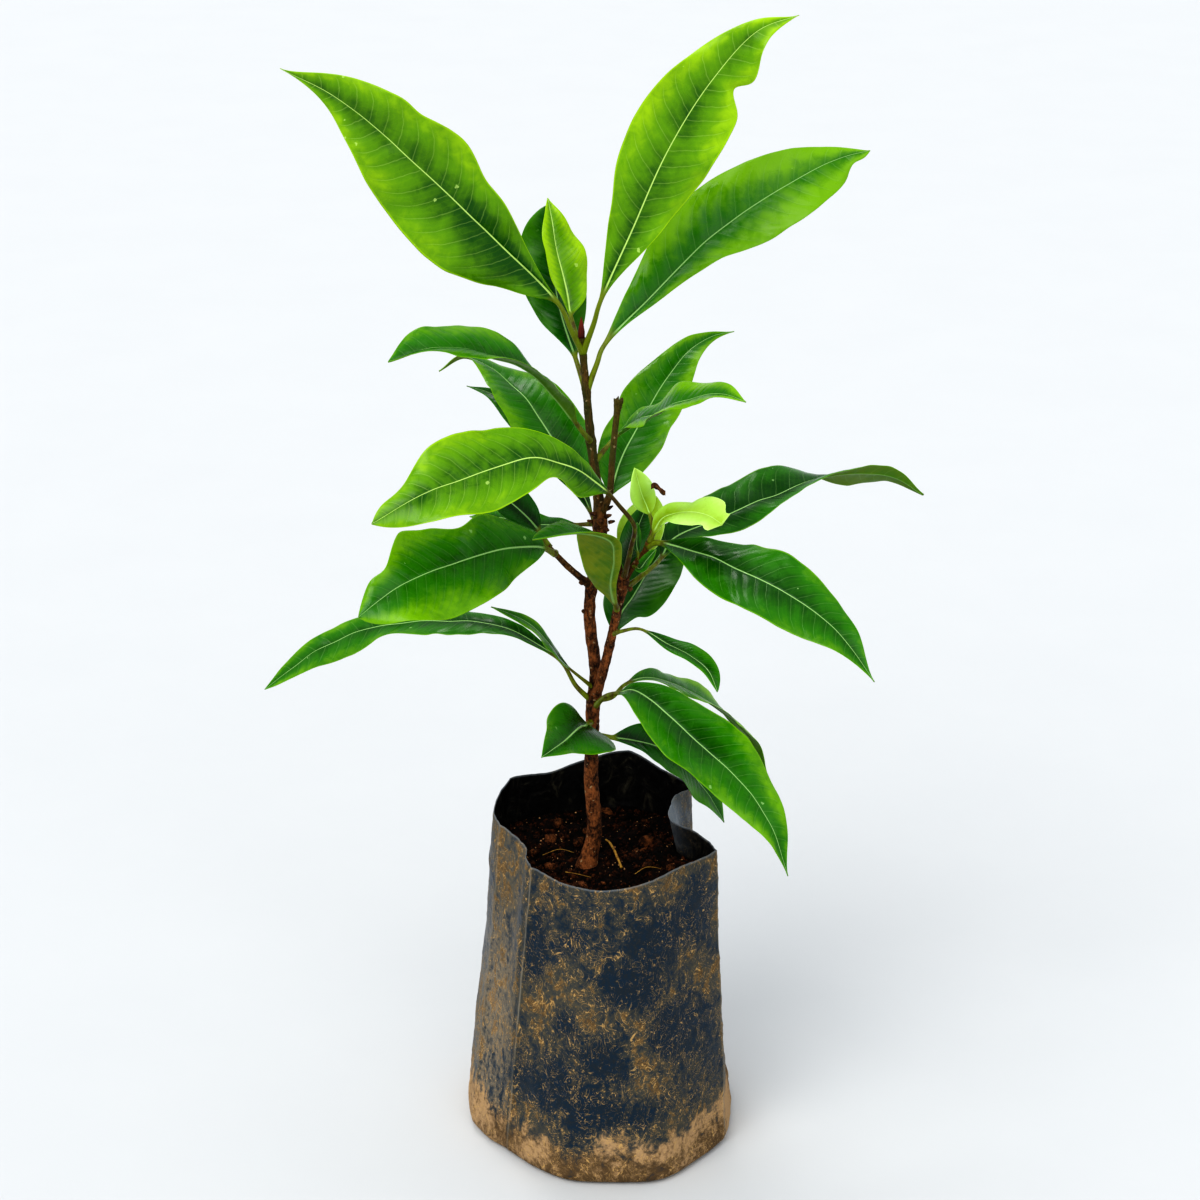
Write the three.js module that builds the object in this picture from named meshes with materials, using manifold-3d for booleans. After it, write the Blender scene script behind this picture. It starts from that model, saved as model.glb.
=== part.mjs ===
// A young potted clove tree: two woody stems that carry large glossy leaves,
// standing in a black film nursery bag that is filled with soil.
// Millimetres, +Z up, the front towards -Y. The origin is the middle of the bag's flat underside.

import * as THREE from "three";
import { mergeVertices } from "three/addons/utils/BufferGeometryUtils.js";
import Module from "manifold-3d";

const wasm = await Module();
wasm.setup();

// Driving dimensions
const CLEARANCE = 0.3; // gap between pieces that touch
const CUT = 0.35; // how far clear of the stems a leaf or twig is cut, measured at their corners
const FILM = 0.9; // wall of the bag as a solid
const FOOT_ROUND = 4; // rounding between the bag's underside and its wall
const SOIL_TOP = 108; // soil level at the trunk
const SOIL_LUMP = 2.2; // how far the soil's surface rises and falls
const SOIL_FLAT = 8; // level patch of soil round the trunk
const SOIL_DIP = 3; // how far it sinks towards the wall
const SOIL_MEETS = 0.87; // of the way up the wall, where its surface meets the bag
const COLLAR = 0.4; // how much wider a petiole is where it springs from its stem
const COLLAR_REACH = 4; // distance over which that width is lost
const PETIOLE = [0.45, 0.95]; // radius of the thinnest and of the thickest petiole
const PETIOLE_GROWTH = 0.05; // how much of a leaf's half width its petiole's radius gains
const PETIOLE_STEP = 6;
const RIB_THIN = 0.55; // of the petiole's radius, where its end is lost in the blade
const RIB_REACH = 1.2; // of the half width: how far the petiole runs on into the blade
const LEAF_THICKNESS = 0.01; // of the leaf's length
const THINNEST_LEAF = 0.6;
const BLADE_STEP = 8; // distance between a blade's stations
const EDGE = 0.35; // narrowest half width, at a blade's foot and tip
const CUP = 0.35; // how far a blade's rise flattens again towards its margin
const CALM_WIDTH = 6; // half width under which a blade's ripples are calmed
const STEM_STEP = 3.5; // least distance between a stem's rings

// The bag at its foot and at its rim, anticlockwise from above, from the front left crease.
const BAG_FOOT = [
  [-34, -27], [-24, -38], [-12, -46], [5, -48], [22, -46], [35, -34], [45, -20], [48, -5], [48, 8],
  [46, 22], [38, 36], [20, 45], [2, 47], [-14, 46], [-30, 40], [-42, 28], [-48, 12], [-47, -8], [-41, -20],
];
const BAG_RIM = [
  [-25, -29, 118], [-19, -33, 116], [-10, -38, 114], [0, -42, 114], [13, -39, 115], [27, -30, 117],
  [39, -18, 117], [34, -6, 117], [24, 4, 118], [26, 10, 123], [32, 22, 121], [22, 30, 124], [10, 36, 128],
  [-5, 34, 126], [-18, 32, 122], [-31, 24, 123], [-37, 10, 118], [-31, -7, 118], [-26, -18, 118],
];
const BAG_LEVELS = [0.2, 0.4, 0.6, 0.8, 0.92, 1]; // of the way from foot to rim
const RIM_STEPS = 2; // points on each stretch between two named corners

// Woody stems: route, radius at the foot and at the tip, and the swellings at their nodes.
const STEMS = {
  main_stem: {
    route: [
      [-6, -14, 100], [-5, -14, 108], [-2, -13, 121], [-3, -12, 141], [-2.5, -12, 165], [-1.5, -12, 181],
      [-3.5, -11, 204], [0, -10, 234], [-3, -8, 263], [-5, -7, 286], [-6, -7, 297],
    ],
    radius: [2.75, 1.15],
    knots: [
      [108, 1.1, 5], [171, 0.35, 5], [212, 0.35, 3], [234, 0.9, 6], [262, 0.35, 2], [280, 0.3, 2],
      [296, 0.35, 2],
    ],
    sides: 10,
  },
  second_stem: {
    on: "main_stem", at: 171,
    route: [[0, -15, 179], [2, -17, 188], [5, -19, 203], [8, -21, 220]],
    radius: [1.75, 1.35],
    knots: [[217, 0.6, 4]],
    sides: 8,
  },
  left_twig: {
    on: "main_stem", at: 212,
    route: [[-10, -17, 221], [-17, -27, 233]],
    radius: [1.1, 0.85],
    knots: [[212, 0.5, 3]],
    sides: 6,
  },
  broken_twig: {
    on: "main_stem", at: 236,
    route: [[3, -13, 245], [4, -15, 258], [5, -16, 270], [6, -16, 279]],
    radius: [1.15, 0.95],
    knots: [[279, 0.7, 3]],
    sides: 6,
  },
  young_shoot: {
    on: "second_stem", at: 217,
    route: [[11, -22, 224], [15, -25, 231], [18, -27, 241]],
    radius: [1.05, 0.8],
    knots: [[233, 0.3, 2]],
    sides: 6,
  },
  dead_snag: {
    on: "second_stem", at: 215,
    route: [[6, -19, 224], [4, -18, 232]],
    radius: [1, 0.9],
    knots: [],
    sides: 6,
  },
};

// The bud's half profile: radius and height above its foot.
const BUD_PROFILE = [[0, 0], [0.9, 0.4], [1.15, 2], [0.8, 4.5], [0.3, 6.6], [0, 7]];

// Leaves. Each springs from its stem at the height `at` and follows `route` to its tip.
// stalk: length of the bare petiole. half: widest half widths, left and right of the midrib
// with the tip pointing away. peak: where each half is widest, from 0 at the foot to 1 at the tip.
// taper: how sharply it narrows from there. face: what its upper side faces, from foot to tip.
// fold: degrees that each half rises from the midrib. wave: height, number and start of the ripples.
// dents: side (-1 left, 1 right), place, reach and depth of each hollow in the margin.
const PLAIN = {
  on: "main_stem", stalk: 12, peak: [0.47, 0.47], taper: 3, fold: 12, wave: [1.2, 2.5, 0], dents: [],
};
const LEAVES = {
  leaf_top_left: {
    at: 292,
    route: [
      [-9, -10, 300], [-13, -13, 310], [-32, -19, 332], [-54, -25, 356], [-79, -31, 380],
      [-96, -34, 390],
    ],
    stalk: 20, half: [19, 15.5], peak: [0.42, 0.56], taper: 3.2, face: [[-0.15, -0.92, 0.2]],
    fold: 14, wave: [1.2, 3, 1],
    dents: [[1, 0.4, 0.05, 1.5], [1, 0.66, 0.04, 1.2], [1, 0.53, 0.05, -0.8]],
  },
  leaf_top_young: {
    at: 292,
    route: [[-9, -2, 301], [-11, 4, 310], [-14, 11, 321], [-17, 20, 336]],
    stalk: 13, half: [5, 9], peak: [0.5, 0.42], taper: 1.9, face: [[0.4, -0.85, 0.35]], fold: 14,
  },
  leaf_top_back: {
    at: 279,
    route: [[-8, 0, 288], [-13, 12, 300], [-16, 24, 314], [-18, 33, 330]],
    stalk: 12, half: [11.5, 10], peak: [0.62, 0.5], taper: 2, face: [[0, -0.85, 0.5]],
  },
  leaf_top_middle: {
    at: 292,
    route: [
      [-2, -11, 303], [0, -14, 311], [10, -16, 335], [21, -18, 361], [34, -20, 383],
      [48, -22, 399], [60, -24, 404],
    ],
    stalk: 20, half: [14, 14.5], peak: [0.5, 0.55], taper: 3, face: [[0, -0.95, 0.3]], fold: 10,
    wave: [1.5, 3, 2], dents: [[1, 0.72, 0.035, 5], [1, 0.8, 0.04, -0.8], [-1, 0.3, 0.08, 1.2]],
  },
  leaf_top_right: {
    at: 279,
    route: [
      [-1, -6, 288], [1, -4, 293], [16, 4, 307], [37, 12, 326], [62, 20, 341], [78, 25, 348],
      [88, 27, 350],
    ],
    stalk: 15, half: [15, 13], peak: [0.52, 0.66], taper: 2.6, face: [[-0.15, -0.9, 0.45]],
    fold: 14, wave: [1.2, 3, 0], dents: [[1, 0.94, 0.03, 2], [1, 0.35, 0.18, 2]],
  },
  leaf_left_arched: {
    at: 262,
    route: [
      [-6, -14, 268], [-13, -20, 280], [-25, -27, 294], [-41, -33, 301], [-54, -37, 303],
      [-66, -38, 299],
    ],
    stalk: 12, half: [10, 12], peak: [0.5, 0.6], taper: 2.2,
    face: [[0.2, 0.15, 0.95], [-0.1, -0.3, 0.95]], fold: 24,
  },
  leaf_left_folded: {
    at: 247,
    route: [[-12, 6, 253], [-24, 22, 265], [-36, 36, 272], [-46, 41, 275], [-55, 41, 270]],
    stalk: 8, half: [11, 13], peak: [0.4, 0.3], taper: 2.2,
    face: [[0.2, -0.8, 0.6], [0.1, -0.6, 0.8], [-0.1, 0.1, 1], [-0.3, 0.5, 0.8]],
  },
  leaf_left_slim: {
    at: 229,
    route: [[-5, 0, 239], [-16, 18, 250], [-26, 31, 256], [-37, 43, 261], [-46, 49, 262]],
    stalk: 8, half: [6, 5], taper: 2.4, face: [[0, -0.7, 0.7]],
  },
  leaf_left_bright: {
    on: "second_stem", at: 218,
    route: [
      [10, -27, 232], [11, -33, 242], [6, -40, 252], [0, -46, 261], [-11, -54, 271],
      [-22, -60, 275], [-37, -68, 273], [-52, -76, 270], [-69, -82, 262],
    ],
    stalk: 46, half: [13.5, 14], peak: [0.6, 0.6], taper: 2.2, face: [[0, -0.72, 0.7]], fold: 8,
    wave: [1.5, 2.5, 2],
    dents: [[-1, 0.33, 0.08, 3], [-1, 0.14, 0.07, -3], [1, 0.28, 0.13, 2.5], [1, 0.85, 0.09, 3.6]],
  },
  leaf_left_dark: {
    on: "left_twig", at: 232,
    route: [[-21, -25, 239], [-29, -27, 248], [-39, -29, 257], [-49, -31, 262]],
    stalk: 6, half: [5.5, 8], taper: 2, face: [[0, -0.7, 0.7]],
  },
  leaf_left_large: {
    on: "left_twig", at: 229,
    route: [[-20, -33, 235], [-32, -43, 238], [-50, -56, 237], [-64, -66, 234], [-75, -72, 227]],
    stalk: 8, half: [17, 14], peak: [0.58, 0.48], taper: 1.7, face: [[0, -0.8, 0.6]], fold: 6,
    wave: [1.8, 2.5, 1],
    dents: [[1, 0.42, 0.08, 3.5], [1, 0.66, 0.07, -3], [1, 0.8, 0.05, 2.5], [-1, 0.25, 0.1, 0.5]],
  },
  leaf_front_curled: {
    on: "second_stem", at: 207,
    route: [[3.5, -31, 221], [4.5, -38, 233], [3, -46, 243], [-7, -55, 249], [-21, -62, 249]],
    stalk: 5, half: [2.5, 12], peak: [0.5, 0.5], taper: 1.5,
    face: [[0.3, 0.7, 0.6], [0.1, 0.5, 0.85], [-0.1, -0.3, 0.95]], wave: [0.4, 2, 0],
  },
  leaf_left_inner: {
    at: 234,
    route: [[-13, -6, 232], [-23, 0, 230], [-34, 6, 230], [-44, 12, 228]],
    stalk: 8, half: [6, 4.5], taper: 2, face: [[0, -0.5, 0.85]],
  },
  leaf_low_left_twisted: {
    at: 170,
    route: [
      [-8, -14, 177], [-13, -14, 186], [-22, -12, 192], [-32, -9, 196], [-57, 0, 195],
      [-79, 9, 188], [-97, 14, 178], [-117, 18, 161],
    ],
    stalk: 22, half: [8.5, 6.5], peak: [0.5, 0.5], taper: 1.8,
    face: [[0, -0.2, 1], [0, -0.3, 0.95], [-0.1, -0.7, 0.7], [-0.2, -0.75, 0.6]],
    dents: [[-1, 0.52, 0.08, 3], [1, 0.55, 0.1, 1]],
  },
  leaf_low_left_small: {
    at: 175,
    route: [[-13, -22, 190], [-17, -28, 199], [-23, -33, 208], [-35, -40, 217]],
    stalk: 15, half: [4, 3], taper: 2, face: [[0.4, -0.35, 0.8]], wave: [0.5, 2, 0],
  },
  leaf_low_front: {
    at: 163,
    route: [[-5, -20, 165], [-7, -26, 167], [-12, -38, 168], [-19, -50, 168]],
    stalk: 7, half: [14, 10.5], peak: [0.2, 0.32], taper: 1.5, face: [[0.5, -0.2, 0.8]],
    fold: 12, wave: [1, 1.5, 0], dents: [[-1, 0.6, 0.15, 2.5]],
  },
  leaf_right_back: {
    at: 240,
    route: [[3, -2, 241], [7, 10, 249], [17, 26, 263], [29, 40, 276], [38, 48, 280], [46, 51, 281]],
    stalk: 9, half: [10.5, 11.5], peak: [0.38, 0.36], taper: 2.2, face: [[-0.1, -0.75, 0.65]],
    wave: [1.5, 2.5, 1], dents: [[-1, 0.36, 0.06, 1.5]],
  },
  leaf_right_arched: {
    at: 255,
    route: [
      [5, -4, 262], [9, -8, 267], [18, -20, 276], [28, -32, 285], [38, -42, 290], [45, -50, 290],
    ],
    stalk: 12, half: [8, 7.5], taper: 2, face: [[0, -0.5, 0.9]], fold: 18,
  },
  leaf_right_twisted: {
    on: "second_stem", at: 214,
    route: [
      [15, -16, 219], [20, -9, 221], [24, -2, 225], [39, 8, 228], [56, 18, 232], [76, 29, 236],
      [89, 36, 235], [102, 42, 231], [113, 46, 223],
    ],
    stalk: 20, half: [12, 7.5], peak: [0.42, 0.32], taper: 2.3, fold: 14,
    face: [[-0.1, -0.45, 0.9], [0, -0.5, 0.87], [0.1, -0.1, 0.95], [0.2, 0.85, 0.4], [0.1, 0.8, 0.5]],
    dents: [[-1, 0.84, 0.12, -2.8], [1, 0.84, 0.12, -2.2]],
  },
  leaf_right_large: {
    on: "young_shoot", at: 232,
    route: [
      [18, -27, 234], [29, -36, 235], [44, -47, 233], [60, -57, 228], [75, -66, 219],
      [86, -72, 205],
    ],
    stalk: 4, half: [12, 13.5], peak: [0.48, 0.48], taper: 2.8, face: [[0.15, -0.62, 0.78]],
    fold: 5, wave: [1.2, 2.5, 0],
  },
  leaf_young_left: {
    on: "young_shoot", at: 239,
    route: [[15, -27, 247], [13, -30, 253], [11, -33, 262]],
    stalk: 5, half: [4.5, 4.5], taper: 1.6, face: [[0.3, -0.85, 0.3]], fold: 24, wave: [0.4, 1.5, 0],
  },
  leaf_young_right: {
    on: "young_shoot", at: 234,
    route: [[20, -31, 244], [27, -43, 251], [34, -51, 252.5], [38, -57, 252]],
    stalk: 4, half: [6.5, 6.5], peak: [0.78, 0.78], taper: 0.9,
    face: [[-0.3, -0.8, 0.5], [0, -0.55, 0.85], [0.2, -0.8, 0.5]], wave: [0.8, 1.5, 0],
    dents: [[-1, 0.93, 0.04, 2], [1, 0.9, 0.04, 1.5]],
  },
  leaf_middle_back: {
    on: "second_stem", at: 193,
    route: [[7, -2, 198], [11, 6, 201], [17, 17, 207], [25, 28, 214], [32, 34, 219]],
    stalk: 8, half: [11, 11.5], taper: 2, face: [[-0.1, -0.75, 0.65]],
  },
  leaf_middle_dark: {
    on: "second_stem", at: 217,
    route: [[10, -15, 227], [13, -12, 235], [16, -10, 242]],
    stalk: 5, half: [4.5, 5], taper: 1.8, face: [[-0.2, -0.85, 0.4]], wave: [0.3, 1.5, 0],
  },
  leaf_middle_pale: {
    on: "second_stem", at: 216,
    route: [[11, -9, 224], [15, 1, 231], [19, 10, 236]],
    stalk: 9, half: [7.5, 7.5], taper: 1.6, face: [[0, -0.8, 0.6]], wave: [0.6, 1.5, 0],
  },
  leaf_shoot_narrow: {
    on: "young_shoot", at: 227,
    route: [[12, -25, 232], [12, -26, 236], [12, -27, 241]],
    stalk: 3, half: [1.4, 1.4], taper: 1.2, face: [[0, -0.9, 0.4]], wave: [0, 1, 0],
  },
  leaf_shoot_small: {
    on: "young_shoot", at: 223,
    route: [[13, -27, 225], [15, -30, 229], [18, -33, 234]],
    stalk: 3, half: [2, 2], taper: 1.2, face: [[0.1, -0.7, 0.7]], wave: [0, 1, 0],
  },
  leaf_right_drooping: {
    on: "second_stem", at: 198,
    route: [
      [7, -23, 201], [13, -28, 204], [21, -34, 202], [29, -40, 200], [35, -44, 196],
      [38, -47, 190],
    ],
    stalk: 16, half: [4.5, 3], peak: [0.6, 0.5], taper: 2, face: [[0.1, -0.4, 0.9]],
    wave: [0.5, 2, 0],
  },
  leaf_low_right_arched: {
    at: 171,
    route: [
      [4, -10, 171], [8, -7, 174], [14, -1, 174], [22, 6, 170], [31, 13, 163], [44, 21, 150],
      [54, 27, 136], [60, 30, 122],
    ],
    stalk: 14, half: [7.5, 7], taper: 2.2,
    face: [[0, -0.4, 0.9], [0, -0.3, 0.95], [0.4, 0.2, 0.9], [0.6, 0.55, 0.6]],
  },
  leaf_low_right_large: {
    at: 168,
    route: [
      [2, -20, 176], [6, -26, 180], [11, -31, 183], [21, -40, 180], [32, -49, 173],
      [44, -57, 164], [54, -64, 153], [61, -68, 134],
    ],
    stalk: 20, half: [13, 13], peak: [0.46, 0.42], taper: 2.6, face: [[0.25, -0.55, 0.8]], fold: 8,
  },
  leaf_low_right_dark: {
    at: 158,
    route: [[4, -8, 155], [14, -3, 151], [25, 3, 143], [36, 9, 128], [44, 14, 111]],
    stalk: 8, half: [10.5, 8.5], taper: 2.2, face: [[0.2, -0.5, 0.8]],
  },
};

// Colours
const FILM_BLACK = "#232e3b";
const SOIL_BROWN = "#3b2416";
const BARK = "#5a3220";
const YOUNG_BARK = "#6d3a22";
const LIME = "#7fb61c";
const GREEN = "#2f7d14";
const DARK_GREEN = "#17510f";
const PALE_GREEN = "#b4d85a";
const LIME_LEAVES = ["leaf_top_left", "leaf_top_young", "leaf_top_middle", "leaf_left_bright"];
const DARK_LEAVES = [
  "leaf_top_back", "leaf_left_dark", "leaf_left_slim", "leaf_middle_dark", "leaf_middle_back",
  "leaf_low_right_dark",
];
const PALE_LEAVES = ["leaf_young_left", "leaf_young_right", "leaf_middle_pale"];

const vector = ([x, y, z]) => new THREE.Vector3(x, y, z);
const mix = THREE.MathUtils.lerp;
const sum = (values) => values.reduce((total, value) => total + value, 0);
const bump = (value, middle, reach) => Math.exp(-(((value - middle) / reach) ** 2));

// A closed geometry as a solid that can be joined and cut.
function solidOf(geometry) {
  const bare = geometry.clone();
  bare.deleteAttribute("normal");
  bare.deleteAttribute("uv");
  const merged = mergeVertices(bare, 1e-4);
  return new wasm.Manifold(
    new wasm.Mesh({
      numProp: 3,
      vertProperties: Float32Array.from(merged.attributes.position.array),
      triVerts: Uint32Array.from(merged.index.array),
    }),
  );
}

function geometryOf(solid) {
  const { vertProperties, triVerts } = solid.getMesh();
  const geometry = new THREE.BufferGeometry();
  geometry.setAttribute("position", new THREE.BufferAttribute(Float32Array.from(vertProperties), 3));
  geometry.setIndex(new THREE.BufferAttribute(Uint32Array.from(triVerts), 1));
  geometry.computeVertexNormals();
  return geometry;
}

// The largest of the bodies that a cut leaves.
function largest(solid) {
  const bodies = solid.decompose();
  return bodies.reduce((best, body) => (body.volume() > best.volume() ? body : best));
}

// A closed skin through rings of equally many points, with a fan over the first and the last ring.
function skin(rings) {
  const count = rings[0].length;
  const middle = (ring) => ring.reduce((total, p) => total.add(p), new THREE.Vector3()).divideScalar(count);
  const points = [...rings.flat(), middle(rings[0]), middle(rings.at(-1))];
  const start = rings.length * count;
  const faces = [];
  for (let i = 0; i < count; i++) {
    const next = (i + 1) % count;
    for (let k = 0; k < rings.length - 1; k++) {
      const a = k * count;
      const b = a + count;
      faces.push(a + i, a + next, b + next, a + i, b + next, b + i);
    }
    const last = start - count;
    faces.push(start, next, i, start + 1, last + i, last + next);
  }
  const geometry = new THREE.BufferGeometry().setFromPoints(points);
  geometry.setIndex(faces);
  return geometry;
}

// A smooth route through hand-set points, read by the distance along it.
function smoothRoute(points) {
  const curve = new THREE.CatmullRomCurve3(points.map(vector), false, "centripetal");
  const length = curve.getLength();
  return {
    length,
    point: (distance) => curve.getPointAt(Math.min(1, distance / length)),
    tangent: (distance) => curve.getTangentAt(Math.min(1, distance / length)),
  };
}

// Rings of `sides` points round a route between two distances, `radius(point, distance)` thick.
function tubeRings(route, radius, sides, from, to, step) {
  const count = Math.max(2, Math.round((to - from) / step));
  const across = new THREE.Vector3(1, 0, 0);
  const rings = [];
  for (let k = 0; k <= count; k++) {
    const distance = mix(from, to, k / count);
    const centre = route.point(distance);
    const along = route.tangent(distance);
    across.addScaledVector(along, -across.dot(along)).normalize();
    const second = along.clone().cross(across);
    const r = radius(centre, distance);
    rings.push(
      Array.from({ length: sides }, (_, i) => {
        const turn = (2 * Math.PI * i) / sides;
        const out = across.clone().multiplyScalar(Math.cos(turn)).addScaledVector(second, Math.sin(turn));
        return centre.clone().addScaledVector(out, r);
      }),
    );
  }
  return rings;
}

// A woody stem, tapering along its route and swollen where leaves and twigs spring from it.
function makeStem({ route, radius, knots, sides }, growth) {
  const path = smoothRoute(route);
  const thickness = ({ z }, distance) => {
    const bare = mix(radius[0], radius[1], distance / path.length);
    const swelling = knots.map(([height, extra, reach]) => extra * bump(z, height, reach));
    return bare + growth + sum(swelling);
  };
  const step = Math.max(STEM_STEP, radius[0] * 2);
  return solidOf(skin(tubeRings(path, thickness, sides, 0, path.length, step)));
}

// The point of a stem's axis at a height.
function axisAt(name, height) {
  const path = smoothRoute(STEMS[name].route);
  let low = 0;
  let high = path.length;
  while (high - low > 0.01) {
    const half = (low + high) / 2;
    if (path.point(half).z < height) low = half;
    else high = half;
  }
  return path.point(low).toArray();
}

// A blade's half width on one side: widest at its peak, nothing at foot and tip, less its dents.
function halfWidth(leaf, side, v) {
  const peak = leaf.peak[side < 0 ? 0 : 1];
  const rise = Math.max(v, 0) / peak;
  const fall = Math.max(1 - v, 0) / (1 - peak);
  const full = leaf.half[side < 0 ? 0 : 1] * (rise ** peak * fall ** (1 - peak)) ** leaf.taper;
  const own = leaf.dents.filter(([dentSide]) => dentSide === side);
  const hollow = own.map(([, middle, reach, depth]) => depth * bump(v, middle, reach));
  return Math.max(EDGE, full - sum(hollow));
}

// The direction that a blade's upper side faces, read off its list from foot to tip.
function facing(list, v) {
  if (list.length === 1) return vector(list[0]);
  const place = v * (list.length - 1);
  const index = Math.min(Math.floor(place), list.length - 2);
  return vector(list[index]).lerp(vector(list[index + 1]), place - index);
}

// One section of a blade: its upper surface from left to right, then its lower one back.
function bladeRing(path, leaf, v) {
  const { length } = path;
  const distance = mix(leaf.stalk, length, v);
  const centre = path.point(distance);
  const along = path.tangent(distance);
  const up = facing(leaf.face, v);
  up.addScaledVector(along, -up.dot(along)).normalize();
  const right = along.clone().cross(up);
  const widths = [halfWidth(leaf, -1, v), halfWidth(leaf, 1, v)];
  const [height, count, phase] = leaf.wave;
  const rise = Math.tan(THREE.MathUtils.degToRad(leaf.fold));
  const thick = Math.max(THINNEST_LEAF, LEAF_THICKNESS * length) / 2;
  const top = [];
  const under = [];
  for (const s of [-1, -0.5, 0, 0.5, 1]) {
    const half = widths[s < 0 ? 0 : 1];
    const calm = Math.min(1, half / CALM_WIDTH);
    const swing = Math.sin(2 * Math.PI * count * v + phase * (s < 0 ? 1 : 2));
    const lift = half * rise * (Math.abs(s) - CUP * s * s) + height * calm * s * s * swing;
    const place = centre.clone().addScaledVector(right, half * s).addScaledVector(up, lift);
    top.push(place.clone().addScaledVector(up, thick));
    under.unshift(place.clone().addScaledVector(up, -thick));
  }
  return [...top, ...under];
}

// A leaf: a thin folded blade joined to its petiole, which stops just clear of its stem.
function makeLeaf(leaf) {
  const path = smoothRoute([axisAt(leaf.on, leaf.at), ...leaf.route]);
  const stations = Math.max(6, Math.round((path.length - leaf.stalk) / BLADE_STEP));
  const rings = Array.from({ length: stations + 1 }, (_, k) => bladeRing(path, leaf, k / stations));
  const widest = Math.max(...leaf.half);
  const petiole = Math.min(PETIOLE[1], PETIOLE[0] + widest * PETIOLE_GROWTH);
  const sunk = Math.min(path.length * 0.6, leaf.stalk + widest * RIB_REACH);
  const thickness = (_, distance) => {
    const collar = COLLAR * Math.exp(-distance / COLLAR_REACH);
    return mix(petiole + collar, petiole * RIB_THIN, distance / sunk);
  };
  const stalk = tubeRings(path, thickness, 6, 0, sunk, PETIOLE_STEP);
  const whole = solidOf(skin(rings)).add(solidOf(skin(stalk)));
  return largest(whole.subtract(clearedStems));
}

// A stem's entry with its route carried back to the axis of the stem that it springs from.
function stemRoute(name) {
  const stem = STEMS[name];
  if (!stem.on) return stem;
  return { ...stem, route: [axisAt(stem.on, stem.at), ...stem.route] };
}

// The stems, each cut clear of the one that it springs from; the trunk is cut flat at the soil.
function makeBranch(name) {
  const whole = makeStem(stemRoute(name), 0);
  const { on } = STEMS[name];
  if (on) return largest(whole.subtract(makeStem(stemRoute(on), CUT)));
  return whole.trimByPlane([0, 0, 1], SOIL_TOP + CLEARANCE);
}

// All the stems, grown by the gap: what every leaf is cut back to.
const clearedStems = Object.keys(STEMS)
  .map((name) => makeStem(stemRoute(name), CUT))
  .reduce((all, stem) => all.add(stem));

// The red terminal bud on the tip of the main stem.
function makeBud() {
  const foot = vector(STEMS.main_stem.route.at(-1));
  const lathe = new THREE.LatheGeometry(BUD_PROFILE.map(([x, y]) => new THREE.Vector2(x, y)), 8);
  return solidOf(lathe.rotateX(Math.PI / 2).translate(foot.x, foot.y, foot.z + CLEARANCE));
}

// The bag's wall: the point at a place round it, a share of the way up from foot to rim.
const smoothLoop = (points) => new THREE.CatmullRomCurve3(points, true, "centripetal");
const footCurve = smoothLoop(BAG_FOOT.map(([x, y]) => new THREE.Vector3(x, y, 0)));
const rimCurve = smoothLoop(BAG_RIM.map(vector));
const around = BAG_FOOT.length * RIM_STEPS;
function wallPoint(i, share) {
  const place = (i % around) / around;
  return footCurve.getPoint(place).lerp(rimCurve.getPoint(place), share);
}

// A ring of the wall, moved inwards by `inset`, at a share of its height or at a given level.
function wallRing(share, inset, level) {
  return Array.from({ length: around }, (_, i) => {
    const before = wallPoint(i + around - 1, share);
    const after = wallPoint(i + 1, share);
    const inwards = new THREE.Vector3(before.y - after.y, after.x - before.x, 0).normalize();
    const place = wallPoint(i, share).addScaledVector(inwards, inset);
    if (level !== undefined) place.z = level;
    return place;
  });
}

// The rounded foot of the bag, `inside` further in: rings from its flat underside to the wall.
function footRings(inside, levels) {
  return levels.map((level) => {
    const drop = Math.max(0, 1 - level / FOOT_ROUND);
    return wallRing(level / SOIL_TOP, inside + FOOT_ROUND * (1 - Math.sqrt(1 - drop * drop)), level);
  });
}

function makeBag() {
  const wall = (inset) => BAG_LEVELS.map((share) => wallRing(share, inset));
  const outer = [...footRings(0, [0, 0.7, FOOT_ROUND]), ...wall(0)];
  const inner = [...footRings(FILM, [FILM, FOOT_ROUND]), ...wall(FILM)];
  return solidOf(skin([...outer, ...inner.reverse()]));
}

// The soil: it fills the bag, with a lumpy surface that is level round the trunk.
function makeSoil() {
  const inside = FILM + CLEARANCE;
  const sides = [0.15, 0.45, 0.75].map((share) => wallRing(share, inside, share * 0.9 * SOIL_TOP));
  const edge = wallRing(SOIL_MEETS, 1.5 * inside, SOIL_TOP - SOIL_DIP);
  const foot = vector(STEMS.main_stem.route[1]).setZ(SOIL_TOP);
  const surface = [1, 0.8, 0.55, 0.32].map((share) =>
    edge.map((p) => {
      const place = foot.clone().lerp(p, share);
      const away = Math.max(0, place.distanceTo(foot) - SOIL_FLAT) / SOIL_FLAT;
      const lumps = Math.sin(place.x * 0.31 + 1) * Math.cos(place.y * 0.27 - 0.6);
      place.z = mix(SOIL_TOP, p.z, share ** 3) + SOIL_LUMP * lumps * Math.min(1, away);
      return place;
    }),
  );
  const patch = edge.map((p) => foot.clone().add(p.clone().setZ(SOIL_TOP).sub(foot).setLength(SOIL_FLAT)));
  const below = footRings(inside, [inside, FOOT_ROUND]);
  return solidOf(skin([...below, ...sides, ...surface, patch]));
}

function material(colour, roughness) {
  return new THREE.MeshStandardMaterial({ color: colour, roughness, metalness: 0 });
}

function leafColour(name) {
  if (LIME_LEAVES.includes(name)) return LIME;
  if (DARK_LEAVES.includes(name)) return DARK_GREEN;
  if (PALE_LEAVES.includes(name)) return PALE_GREEN;
  return GREEN;
}

const plant = new THREE.Group();
function addNode(name, solid, colour, roughness) {
  const mesh = new THREE.Mesh(geometryOf(solid), material(colour, roughness));
  mesh.name = name;
  plant.add(mesh);
}

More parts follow.
